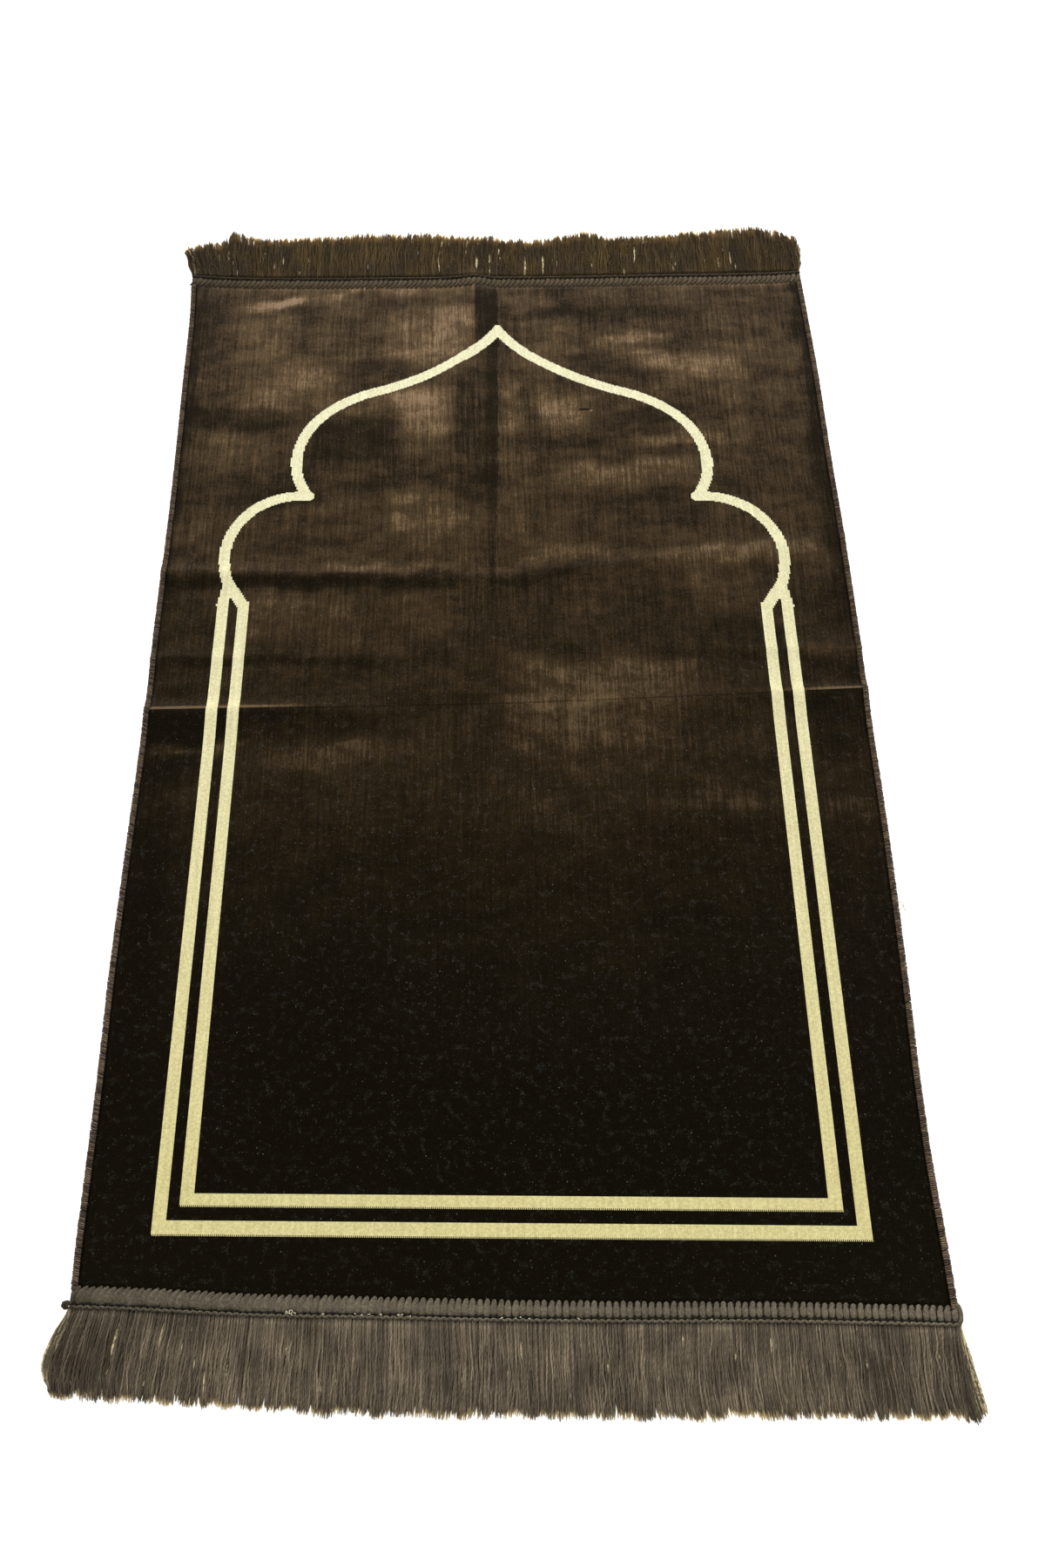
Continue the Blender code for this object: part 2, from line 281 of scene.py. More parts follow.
def lines_through(keys):
    """Lines through a row of key lines, a cell apart or closer."""
    lines = [keys[0]]
    for start, end in zip(keys, keys[1:]):
        cells = max(math.ceil(abs(end(0.0) - start(0.0)) / CELL), 3)
        lines += lines_between(start, end, cells)
    return lines


def cloth_rows():
    """Lines across the cloth, front to back, which follow the creases across it."""
    front, back = ENDS
    tuck = CLOTH_TUCK / HEADING_WIDTH
    keys = [lambda x: heading_edge(front, x, tuck)]
    for fold in CROSS_FOLDS:
        keys.append(lambda x, f=fold: crest_y(f, x) - f.front)
        keys.append(lambda x, f=fold: crest_y(f, x))
        keys.append(lambda x, f=fold: crest_y(f, x) + f.back)
    keys.append(lambda x: heading_edge(back, x, tuck))
    return lines_through(keys)


def cloth_columns():
    """Lines along the cloth, left to right, which follow the crease along it."""
    inset = EDGE_WIDTH - CLOTH_TUCK
    keys = [lambda y: side_x["left"](y) + inset]
    keys += [long_fold[name] for name in ("left", "crest", "right")]
    keys.append(lambda y: side_x["right"](y) - inset)
    return lines_through(keys)


# How far the woven pattern has slid to the right of a true grid, at places along the rug.
Slide = namedtuple("Slide", "y right")
PATTERN_SLIDE = (
    Slide(-555.0, 0.3),
    Slide(100.0, 0.2),
    Slide(250.0, -1.0),
    Slide(380.0, -3.0),
    Slide(460.0, -4.3),
    Slide(560.0, -5.0),
)
pattern_slide = curve(PATTERN_SLIDE, "right")


# Where the pile has been stroked another way: each mark tilts its normal, changes its
# roughness and paints sheen (above 0) or shade (below 0) into its colour. The mark's middle,
# its half length and half width, how far it is turned, and how much lighter or darker it looks.
Mark = namedtuple("Mark", "x y half_long half_wide turn amount")
BRUSH_SHEEN_MARKS = (
    Mark(0.0, -82.0, 340.0, 66.0, 0.0, 0.34),
    Mark(0.0, 186.0, 330.0, 42.0, 0.0, 0.26),
    Mark(20.0, 424.0, 300.0, 20.0, 0.0, 0.25),
    Mark(-266.0, 503.0, 40.0, 8.0, 9.0, 1.15),
    Mark(-212.0, 512.0, 50.0, 7.0, 8.0, 0.6),
    Mark(-130.0, 531.0, 115.0, 11.0, 1.0, 0.6),
    Mark(-80.0, 458.0, 50.0, 40.0, 0.0, 0.72),
    Mark(-268.0, 450.0, 30.0, 34.0, 0.0, 0.5),
    Mark(-238.0, 378.0, 62.0, 32.0, 8.0, 0.6),
    Mark(-86.0, 344.0, 34.0, 34.0, 0.0, 0.95),
    Mark(-120.0, 366.0, 62.0, 12.0, 16.0, 0.4),
    Mark(-285.0, 292.0, 30.0, 30.0, 0.0, 0.5),
    Mark(-85.0, 214.0, 36.0, 28.0, 0.0, 0.6),
    Mark(-120.0, 143.0, 70.0, 7.0, 0.0, 0.7),
    Mark(-205.0, 88.0, 62.0, 32.0, 0.0, 0.5),
    Mark(-85.0, 84.0, 50.0, 30.0, 0.0, 0.25),
    Mark(96.0, 14.0, 98.0, 28.0, 1.0, 0.95),
    Mark(80.0, -34.0, 70.0, 28.0, 0.0, 0.6),
    Mark(-150.0, -64.0, 76.0, 14.0, 9.0, 0.45),
    Mark(-292.0, -62.0, 46.0, 7.0, 4.0, 0.9),
    Mark(140.0, 262.0, 78.0, 20.0, 5.0, 0.66),
    Mark(188.0, 311.0, 52.0, 8.0, 4.0, 0.7),
    Mark(66.0, 348.0, 27.0, 28.0, 0.0, 0.75),
    Mark(10.0, 352.0, 10.0, 50.0, 0.0, 0.5),
    Mark(214.0, 414.0, 62.0, 20.0, -6.0, 0.7),
    Mark(150.0, 453.0, 46.0, 7.0, 2.0, 0.7),
    Mark(30.0, 508.0, 24.0, 18.0, 20.0, 0.6),
    Mark(64.0, 452.0, 30.0, 24.0, 0.0, 0.3),
    Mark(258.0, 340.0, 10.0, 46.0, 0.0, 0.4),
    Mark(238.0, 164.0, 96.0, 12.0, 5.0, 0.6),
    Mark(56.0, 160.0, 48.0, 10.0, 12.0, 0.4),
    Mark(232.0, 120.0, 40.0, 24.0, 0.0, 0.35),
    Mark(324.0, 47.0, 30.0, 5.0, 0.0, 0.6),
    Mark(246.0, -117.0, 100.0, 9.0, -3.0, 0.4),
    Mark(262.0, 534.0, 84.0, 10.0, 0.0, 0.4),
    Mark(60.0, -220.0, 70.0, 150.0, 0.0, 0.25),
    Mark(-130.0, 411.0, 76.0, 13.0, 0.0, -0.5),
    Mark(-160.0, 309.0, 54.0, 32.0, 0.0, -0.65),
    Mark(-282.0, 338.0, 62.0, 13.0, 0.0, -0.5),
    Mark(-240.0, 246.0, 46.0, 26.0, 0.0, -0.5),
    Mark(-104.0, 258.0, 50.0, 14.0, 0.0, -0.4),
    Mark(-200.0, 127.0, 150.0, 10.0, 1.0, -0.7),
    Mark(110.0, 490.0, 96.0, 11.0, 0.0, -0.5),
    Mark(112.0, 414.0, 40.0, 16.0, 0.0, -0.55),
    Mark(68.0, 306.0, 66.0, 11.0, 2.0, -0.5),
    Mark(158.0, 342.0, 46.0, 11.0, 8.0, -0.5),
    Mark(164.0, 222.0, 52.0, 30.0, 0.0, -0.4),
    Mark(44.0, 136.0, 50.0, 7.0, 15.0, -0.5),
    Mark(322.0, -40.0, 36.0, 30.0, 0.0, -0.6),
    Mark(322.0, 22.0, 36.0, 16.0, 0.0, -0.5),
    Mark(-316.0, -40.0, 40.0, 19.0, 0.0, -1.0),
    Mark(-200.0, -34.0, 100.0, 15.0, 0.0, -0.5),
    Mark(-326.0, -84.0, 30.0, 16.0, 0.0, -0.6),
    Mark(-220.0, 35.0, 118.0, 6.0, 0.0, -0.4),
    Mark(-176.0, -340.0, 90.0, 80.0, 0.0, -0.5),
    Mark(-190.0, -450.0, 110.0, 60.0, 0.0, -0.5),
    Mark(-325.0, 420.0, 22.0, 130.0, 0.0, -0.3),
    Mark(-192.0, 190.0, 62.0, 20.0, 0.0, -0.3),
    Mark(138.0, 168.0, 24.0, 30.0, 0.0, -0.3),
    Mark(46.0, 512.0, 40.0, 18.0, 0.0, -0.35),
    Mark(4.0, 438.0, 22.0, 50.0, 0.0, -0.3),
    Mark(-300.0, -50.0, 44.0, 50.0, 0.0, -0.3),
    Mark(-330.0, -330.0, 22.0, 220.0, 0.0, -0.8),
    Mark(343.0, 330.0, 13.0, 260.0, 0.0, -0.8),
    Mark(-350.0, 320.0, 12.0, 240.0, 0.0, -0.6),
    Mark(240.0, 62.0, 50.0, 20.0, 0.0, -0.3),
)
MARK_REACH = 1.6
# How far the marks' edges wander, and over what distance.
MARK_WARP, MARK_WARP_WIDTH = 9.0, 30.0


def brush_sheen_at(x, y):
    """How much sheen (above 0) or shade (below 0) the stroked pile shows at a place, about -1 to 1;
    painted into its colour and tilting its normal.
    """
    total = 0.0
    spot = Vector((x / MARK_WARP_WIDTH, y / MARK_WARP_WIDTH, 1.3))
    x += MARK_WARP * noise.noise(spot)
    y += MARK_WARP * noise.noise(spot + Vector((0.0, 0.0, 6.0)))
    for mark in BRUSH_SHEEN_MARKS:
        turn = math.radians(mark.turn)
        right, back = x - mark.x, y - mark.y
        long_way = (right * math.cos(turn) + back * math.sin(turn)) / mark.half_long
        wide_way = (back * math.cos(turn) - right * math.sin(turn)) / mark.half_wide
        if max(abs(long_way), abs(wide_way)) < MARK_REACH:
            total += mark.amount * math.exp(-(long_way**6) - wide_way**6)
    return total


def build_cloth(pile, backing):
    """The velvet cloth, a closed sheet with its pile up and its woven back down."""
    rows, columns = cloth_rows(), cloth_columns()
    mesh = bmesh.new()
    across_count, along_count = len(columns) - 1, len(rows) - 1
    bmesh.ops.create_grid(mesh, x_segments=across_count, y_segments=along_count, size=0.5)
    brush = mesh.verts.layers.float.new("brush")
    crest = mesh.verts.layers.float.new("crest")
    for vert in mesh.verts:
        column = columns[round((vert.co.x + 0.5) * across_count)]
        row = rows[round((vert.co.y + 0.5) * along_count)]
        x = column(row(column(0.0)))
        y = row(x)
        vert.co = metres(x, y, lift(x, y))
        vert[brush] = brush_sheen_at(x, y)
        vert[crest] = y - crest_y(CROSS_FOLDS[0], x)
    under = mesh.faces[:]
    grown = bmesh.ops.extrude_face_region(mesh, geom=under, use_keep_orig=True)["geom"]
    top_verts = [item for item in grown if isinstance(item, bmesh.types.BMVert)]
    top_faces = {item for item in grown if isinstance(item, bmesh.types.BMFace)}
    bmesh.ops.translate(mesh, verts=top_verts, vec=metres(0.0, 0.0, CLOTH_THICKNESS))
    weave = mesh.loops.layers.uv.new("weave")
    for face in mesh.faces:
        face.material_index = 0 if face in top_faces else 1
        for loop in face.loops:
            x, y = loop.vert.co.x, loop.vert.co.y
            loop[weave].uv = (x - pattern_slide(y / MM) * MM, y)
    return finish_piece("velvet_cloth_pile", mesh, [pile, backing], "velvet_cloth")


# ---- Yarns and profiles ----


def close_ends(mesh, sides):
    """Fill the first section of every swept shape in a mesh, which its sweep leaves open."""
    rims = [edge for edge in mesh.edges if edge.is_boundary]
    bmesh.ops.holes_fill(mesh, edges=rims, sides=sides)


def sweep_profile(sections):
    """A closed mesh that runs from each section's corners to the next one's."""
    mesh = bmesh.new()
    head = mesh.faces.new([mesh.verts.new(corner) for corner in sections[0]])
    for corners in sections[1:]:
        head = bmesh.ops.extrude_discrete_faces(mesh, faces=[head])["faces"][0]
        for loop, corner in zip(head.loops, corners):
            loop.vert.co = corner
    close_ends(mesh, len(sections[0]))
    return mesh


# A place on a yarn's path, and half the yarn's breadth and height there.
Station = namedtuple("Station", "x y z across up")
# A yarn: the stations of its path, its tone, and how much painted golden glint each station shows.
Yarn = namedtuple("Yarn", "stations shade glints", defaults=(None,))


def yarn_rings(yarn, sides, hint):
    """Corner points of a yarn's sections, each square to its path, with their turn and length."""
    centres = [metres(s.x, s.y, s.z) for s in yarn.stations]
    last = len(centres) - 1
    along = 0.0
    rings = []
    for index, station in enumerate(yarn.stations):
        ahead = centres[min(index + 1, last)] - centres[max(index - 1, 0)]
        side = ahead.cross(hint).normalized()
        up = side.cross(ahead).normalized()
        if index:
            along += (centres[index] - centres[index - 1]).length
        ring = []
        for corner in range(sides):
            angle = 2.0 * math.pi * (corner + 0.5) / sides
            cosine, sine = math.cos(angle), math.sin(angle)
            offset = side * (cosine * station.across * MM) + up * (sine * station.up * MM)
            ring.append((centres[index] + offset, Vector((cosine, sine, along))))
        rings.append(ring)
    return rings


def wind_yarns(name, yarns, sides, material, node, hint=Vector((0.0, 0.0, 1.0))):
    """Many yarns as one piece, all swept together through their stations and closed at both ends."""
    mesh = bmesh.new()
    order = mesh.faces.layers.int.new("order")
    turn = mesh.verts.layers.float_vector.new("turn")
    lot = mesh.verts.layers.float_vector.new("lot")
    rings = [yarn_rings(yarn, sides, hint) for yarn in yarns]
    heads = []
    for index in range(len(yarns)):
        circle = bmesh.ops.create_circle(mesh, cap_ends=True, segments=sides, radius=MM)["verts"]
        heads.append(circle[0].link_faces[0])
        heads[-1][order] = index
    steps = len(yarns[0].stations)
    for step in range(steps):
        if step:
            heads = bmesh.ops.extrude_discrete_faces(mesh, faces=heads)["faces"]
        for head in heads:
            index = head[order]
            for loop, (corner, turned) in zip(head.loops, rings[index][step]):
                loop.vert.co = corner
                loop.vert[turn] = turned
                glint = yarns[index].glints[step] if yarns[index].glints else 0.0
                loop.vert[lot] = (yarns[index].shade, step / (steps - 1), glint)
    close_ends(mesh, sides)
    return finish_piece(name, mesh, [material], node)


# ---- Headings ----

# A loop of the heading, from its rounded head over the pile's edge to the stitched groove:
# the distance from the inner edge, the half width, and the height of its under and upper side.
LoopStation = namedtuple("LoopStation", "out half_width under upper")
LOOP_STATIONS = (
    LoopStation(-1.7, 0.5, 2.8, 3.5),
    LoopStation(-1.1, 1.4, 2.5, 3.8),
    LoopStation(0.2, 2.2, 1.2, 4.1),
    LoopStation(2.2, 3.2, 0.4, 4.2),
    LoopStation(4.4, 4.6, 0.1, 4.05),
    LoopStation(8.0, 4.9, 0.1, 3.7),
    LoopStation(10.3, 4.0, 0.2, 3.0),
    LoopStation(11.3, 2.2, 0.6, 2.5),
)
LOOP_SIDES = 10

# How far a loop's head leans to the right of its foot at each end, how broad its body is
# there as a share of its full breadth, and how far its head is drawn in from the pile. The
# lean begins LEAN_START from the inner edge.
Lean = namedtuple("Lean", "x front back front_body back_body front_head back_head")
LOOP_LEAN = (
    Lean(-360.0, 4.6, -4.2, 1.0, 0.68, 0.0, 0.0),
    Lean(-240.0, 4.0, -4.4, 0.98, 0.66, 0.0, 0.0),
    Lean(-110.0, 1.8, -4.2, 0.84, 0.62, 0.3, 0.0),
    Lean(20.0, 0.5, -4.2, 0.68, 0.61, 0.6, 0.0),
    Lean(200.0, 0.4, -4.4, 0.59, 0.61, 1.3, 0.0),
    Lean(352.0, 0.9, -4.2, 0.58, 0.62, 1.8, 0.0),
)
LEAN_START = 5.0
# How far the loops' feet stray, past this distance from the inner edge.
FOOT_START, FOOT_STRAY = 9.0, 0.7
loop_lean = {name: curve(LOOP_LEAN, name) for name in Lean._fields[1:]}


def heading_ends(end):
    """X of a heading's left and right end."""
    y = heading_y[end.name](0.0)
    return side_x["left"](y), side_x["right"](y)


def build_loops(end, material):
    """The heading's row of plump loops, wound over the end of the cloth."""
    draw = random.Random(end.seed)
    left, right = heading_ends(end)
    pitch = (right - left) / LOOPS_PER_END
    yarns = []
    for index in range(LOOPS_PER_END):
        x = left + pitch * (index + 0.5) + draw.uniform(-0.3, 0.3)
        lean = loop_lean[end.name](x) + draw.uniform(-0.3, 0.3)
        plump = draw.uniform(0.93, 1.06)
        body = loop_lean[end.name + "_body"](x)
        head = draw.uniform(-0.45, 0.35) + loop_lean[end.name + "_head"](x)
        foot = draw.uniform(-FOOT_STRAY, FOOT_STRAY)
        base = heading_base(end, x)
        stations = []
        for station in LOOP_STATIONS:
            at_x = x + lean * max(LEAN_START - station.out, 0.0) / LEAN_START - lean * 0.3
            out = station.out + head * max(1.0 - max(station.out, 0.0) / 3.0, 0.0)
            out += foot if station.out > FOOT_START else 0.0
            y = heading_edge(end, at_x, out / HEADING_WIDTH)
            half = (station.upper - station.under) * plump / 2.0
            z = base + (station.upper + station.under) / 2.0
            broad = station.half_width * plump * (body if station.out > 1.0 else 1.0)
            room = min(at_x - left, right - at_x) + 0.4
            stations.append(Station(at_x, y, z, min(broad, max(room, 0.5)), half))
        yarns.append(Yarn(stations, draw.random()))
    return wind_yarns(end.name + "_heading_loops", yarns, LOOP_SIDES, material, end.node)


def along_heading(end, share, height, count, half_length, half_width, rise, shades, zigzag=False):
    """A row of short slanted yarns laid along a heading, such as stitches."""
    left, right = heading_ends(end)
    pitch = (right - left) / count
    yarns = []
    for index in range(count):
        x = left + pitch * (index + 0.5)
        y = heading_edge(end, x, share)
        z = heading_base(end, x) + height
        turn = -1.0 if zigzag and index % 2 else 1.0
        stations = []
        for place, width in ((-1.0, 0.35), (-0.6, 0.85), (0.0, 1.0), (0.6, 0.85), (1.0, 0.35)):
            hump = 0.35 * (1.0 - place * place)
            stations.append(
                Station(
                    x + place * half_length,
                    y + place * rise * turn,
                    z + hump,
                    half_width * width,
                    half_width * width,
                )
            )
        yarns.append(Yarn(stations, shades.random()))
    return yarns


# The tape's section: the distance from the heading's inner edge, and the height.
TAPE_PROFILE = (
    (0.2, 0.0), (0.2, 2.7), (2.0, TAPE_HEIGHT), (14.2, TAPE_HEIGHT), (15.0, 1.4), (15.0, 0.0),
)


def build_tape(end, material):
    """The flat tape under the loops, which the yarns of the fringe are caught in."""
    left, right = heading_ends(end)
    sections = []
    for step in range(LOOPS_PER_END + 1):
        x = left + (right - left) * step / LOOPS_PER_END
        base = heading_base(end, x)
        corners = [(heading_edge(end, x, out / HEADING_WIDTH), base + z) for out, z in TAPE_PROFILE]
        sections.append([metres(x, y, z) for y, z in corners])
    mesh = sweep_profile(sections)
    return finish_piece(end.name + "_heading_tape", mesh, [material], end.node)


STITCHES_PER_END = 168
CORD_TURNS_PER_END = 2 * LOOPS_PER_END


def build_heading(end, loop_material, dark_material):
    """A whole heading: tape, loops, the dark line of stitches and the thin cord."""
    draw = random.Random(end.seed + 40)
    tape = build_tape(end, dark_material)
    loops = build_loops(end, loop_material)
    stitches = along_heading(end, 0.77, 2.2, STITCHES_PER_END, 1.9, 0.6, 0.3, draw)
    stitching = wind_yarns(
        end.name + "_heading_stitches", stitches, 5, dark_material, end.node
    )
    turns = along_heading(end, 0.905, 2.4, CORD_TURNS_PER_END, 2.0, 1.3, 1.0, draw, zigzag=True)
    cord = wind_yarns(end.name + "_heading_cord", turns, 6, loop_material, end.node)
    return [tape, loops, stitching, cord]


# ---- Fringes ----

# A layer of yarns: its name, its yarns, their half thickness, how much broader than thick
# they are, how high they leave the heading, how high their tips lie, how far they stray
# from an even pitch, and their tones.
Layer = namedtuple("Layer", "name yarns half broad root_height tip_height stray dark pale")
LAYERS = (
    Layer("under", 400, 1.0, 1.55, 1.1, 1.0, 0.1, 0.0, 0.5),
    Layer("middle", 400, 0.8, 1.2, 1.7, 1.9, 0.45, 0.1, 0.9),
    Layer("upper", 390, 0.64, 1.15, 2.5, 2.7, 0.5, 0.2, 1.0),
    Layer("fibres", 620, 0.18, 1.0, 2.9, 3.3, 0.5, 0.5, 1.0),
)
YARN_STATIONS = 12
# How thick a yarn still is at its tip, as a share.
TIP_TAPER = 0.35
YARN_SIDES = {"under": 4, "middle": 5, "upper": 5, "fibres": 3}
# The yarns bunch and part in soft waves: how wide the waves are and how far they push,
# and how much of that each layer follows.
BUNCH_WIDTH, FINE_BUNCH_WIDTH = 15.0, 5.0
BUNCH_PUSH, FINE_BUNCH_PUSH = 3.6, 1.7
BUNCH_SHARE = {"under": 0.1, "middle": 0.55, "upper": 0.95, "fibres": 1.2}
# At the front, this share of it is left up to LOOSE_FROM, and all of it from LOOSE_TO on.
BUNCH_EVEN, LOOSE_FROM, LOOSE_TO = 0.4, -160.0, 220.0
# The waves of a fringe's edge: how wide they are and how far they reach.
EDGE_WAVE_WIDTH, EDGE_WAVE_REACH = 26.0, 1.8

# Tufts: the narrowest and widest, how far they reach more or less than the others, how
# much shorter their outer yarns are, how far their tips close up, how far single yarns
# reach more or less than their tuft, how far they sway, and how late their lean begins.
TuftStyle = namedtuple("TuftStyle", "narrow wide reach rounding closing ragged sway delay")
TUFT_STYLES = {
    "front": TuftStyle(8.0, 22.0, 1.1, 1.7, 0.06, 2.2, 1.15, 1.35),
    "back": TuftStyle(4.0, 13.0, 1.5, 1.8, 0.13, 3.2, 1.6, 1.0),
}
Tuft = namedtuple("Tuft", "middle half reach")
# Painted golden glow shows on the ends of the under layer's yarns between two tufts, past this
# place in a tuft.
TUFT_SIDE = 0.62
# How much of the tufts' sway the under layer shares, so that it stays closed.
UNDER_SWAY = 0.3
# Neighbouring yarns are of like tone over this width, by this share.
TONE_WIDTH, TONE_SHARE = 5.0, 0.6

# Narrow gaps between the yarns, where a yarn of the under layer shows with a painted golden
# glint: where they leave the heading, where along the yarns they start and stop, and half their
# width.
Slit = namedtuple("Slit", "x start stop half")
SLITS = {
    "front": (
        Slit(-306.0, 0.06, 0.80, 0.55),
        Slit(-290.0, 0.28, 0.42, 0.40),
        Slit(-272.0, 0.10, 0.42, 0.35),
        Slit(-254.0, 0.30, 0.48, 0.40),
        Slit(-243.0, 0.86, 1.05, 1.10),
        Slit(-234.0, 0.60, 0.95, 0.55),
        Slit(-217.0, 0.48, 0.66, 0.80),
        Slit(-200.0, 0.86, 1.05, 0.60),
        Slit(-146.0, 0.78, 0.96, 0.50),
        Slit(-128.0, 0.25, 0.38, 0.40),
        Slit(-74.0, 0.66, 1.05, 0.65),
        Slit(-24.0, 0.16, 0.34, 0.50),
        Slit(-4.0, 0.48, 0.64, 0.55),
        Slit(31.0, 0.72, 0.92, 0.50),
        Slit(115.0, 0.46, 0.68, 0.75),
        Slit(126.0, 0.22, 0.36, 0.40),
        Slit(137.0, 0.52, 0.62, 0.40),
        Slit(211.0, 0.50, 0.72, 0.50),
        Slit(224.0, 0.66, 1.05, 0.80),
        Slit(233.0, 0.74, 1.05, 0.90),
        Slit(330.0, 0.86, 1.05, 0.80),
    ),
    "back": (
        Slit(-316.0, 0.45, 0.60, 0.65),
        Slit(-307.0, 0.06, 0.20, 0.55),
        Slit(-254.0, 0.30, 0.56, 0.45),
        Slit(-235.0, 0.10, 0.26, 0.55),
        Slit(-206.0, 0.62, 0.90, 0.85),
        Slit(-132.0, 0.40, 0.68, 0.40),
        Slit(-72.0, 0.10, 0.60, 0.55),
        Slit(-28.0, 0.20, 0.50, 0.90),
        Slit(-13.0, 0.05, 0.65, 0.75),
        Slit(-3.0, 0.55, 0.80, 0.50),
        Slit(28.0, 0.05, 0.62, 0.90),
        Slit(49.0, 0.05, 0.60, 1.00),
        Slit(125.0, 0.50, 0.80, 0.65),
        Slit(143.0, 0.02, 0.25, 0.50),
        Slit(156.0, 0.28, 0.80, 1.00),
        Slit(201.0, 0.40, 0.60, 0.60),
        Slit(238.0, 0.10, 0.46, 0.50),
        Slit(254.0, 0.10, 0.50, 0.50),
        Slit(268.0, 0.22, 0.62, 0.60),
        Slit(328.0, 0.40, 0.60, 0.70),
        Slit(339.0, 0.02, 0.22, 1.90),
    ),
}
# How far aside a gap is felt, how near its middle a yarn gets a painted golden glint, and how
# much wider than its own width it opens.
SLIT_REACH = 5.0
SLIT_GLINT = 0.88
SLIT_OPENING = 0.6
# Short gaps besides those: the stretch they lie in and how many there are.
SHORT_SLITS = {
    "front": ((-330.0, -180.0, 16), (-180.0, 60.0, 12), (60.0, 340.0, 14)),
    "back": ((-350.0, -60.0, 14), (-60.0, 90.0, 14), (90.0, 345.0, 22)),
}

# Yarns that stand away from a fringe's corner: where they leave the heading, how far they
# reach, how far their middle and their tip lean to the right, and how much painted golden glow they
# may show.
Stray = namedtuple("Stray", "x reach middle tip glow")
# A fan of such yarns, from the first to the last.
Fan = namedtuple("Fan", "first last count")
FANS = {
    "front": (
        Fan(Stray(349.5, 56.0, 6.5, 10.5, 0.8), Stray(347.5, 63.0, 0.0, 5.0, 0.0), 14),
        Fan(Stray(-347.5, 54.0, -15.0, -10.0, 1.0), Stray(-346.5, 61.0, -12.0, -7.0, 0.3), 7),
        Fan(Stray(-347.0, 27.0, -3.5, -9.0, 1.0), Stray(-346.5, 33.0, -5.0, -10.0, 0.6), 3),
    ),
    "back": (
        Fan(Stray(345.0, 40.0, 3.5, 5.0, 0.45), Stray(344.0, 54.0, 2.0, 3.0, 0.2), 4),
        Fan(Stray(-356.0, 38.0, -4.5, -12.0, 0.5), Stray(-355.0, 46.0, -7.0, -15.0, 0.2), 4),
    ),
}


def fan_yarns(fan):
    """The yarns of a fan, spread evenly between its first and its last."""
    spread = []
    for index in range(fan.count):
        share = index / (fan.count - 1)
        spread.append(Stray(*(a + (b - a) * share for a, b in zip(fan.first, fan.last))))
    return spread


def draw_slits(end):
    """All the gaps of a fringe: the ones in the table and short ones scattered over it."""
    draw = random.Random(end.seed + 7)
    slits = list(SLITS[end.name])
    for left, right, count in SHORT_SLITS[end.name]:
        for _ in range(count):
            start = draw.uniform(0.12, 0.85)
            stop = start + draw.uniform(0.07, 0.20)
            x, half = draw.uniform(left, right), draw.uniform(0.2, 0.5)
            slits.append(Slit(x, start, stop, half))
    return slits


def slit_push(slits, x, share):
    """How far the slits push a yarn aside here, and how much painted golden glint a yarn below them
    shows.
    """
    push, glint = 0.0, 0.0
    for slit in slits:
        aside = x - slit.x
        if abs(aside) > SLIT_REACH or not slit.start < share < slit.stop:
            continue
        opened = math.sin(math.pi * (share - slit.start) / (slit.stop - slit.start)) ** 0.5
        width = (slit.half + SLIT_OPENING) * (1.0 - abs(aside) / SLIT_REACH)
        push += math.copysign(width, aside) * opened
        glint = max(glint, opened if abs(aside) < SLIT_GLINT else 0.0)
    return push, glint


def draw_tufts(end, draw):
    """The tufts that a fringe's yarns fall into, side by side."""
    style = TUFT_STYLES[end.name]
    at, right = heading_ends(end)
    tufts = []
    while at < right:
        half = draw.uniform(style.narrow, style.wide) / 2.0
        tufts.append(Tuft(at + half, half, draw.uniform(-style.reach, style.reach)))
        at += 2.0 * half
    return tufts


def tuft_at(tufts, x):
    """The tuft that a yarn belongs to, and its place in it, from -1 at the left to 1."""
    starts = [tuft.middle - tuft.half for tuft in tufts]
    tuft = tufts[max(bisect.bisect_right(starts, x) - 1, 0)]
    return tuft, min(max((x - tuft.middle) / tuft.half, -1.0), 1.0)


def bunch(end, x, share):
    """How far the yarns drift aside where they bunch and part."""
    broad = noise.noise(Vector((x / BUNCH_WIDTH, share * 1.1, end.seed)))
    fine = noise.noise(Vector((x / FINE_BUNCH_WIDTH, share * 2.2, end.seed + 9.0)))
    loose = min(max((x - LOOSE_FROM) / (LOOSE_TO - LOOSE_FROM), 0.0), 1.0)
    looseness = BUNCH_EVEN + (1.0 - BUNCH_EVEN) * loose
    if end.name == "back":
        looseness = 1.0
    return (BUNCH_PUSH * broad + FINE_BUNCH_PUSH * fine) * looseness * share


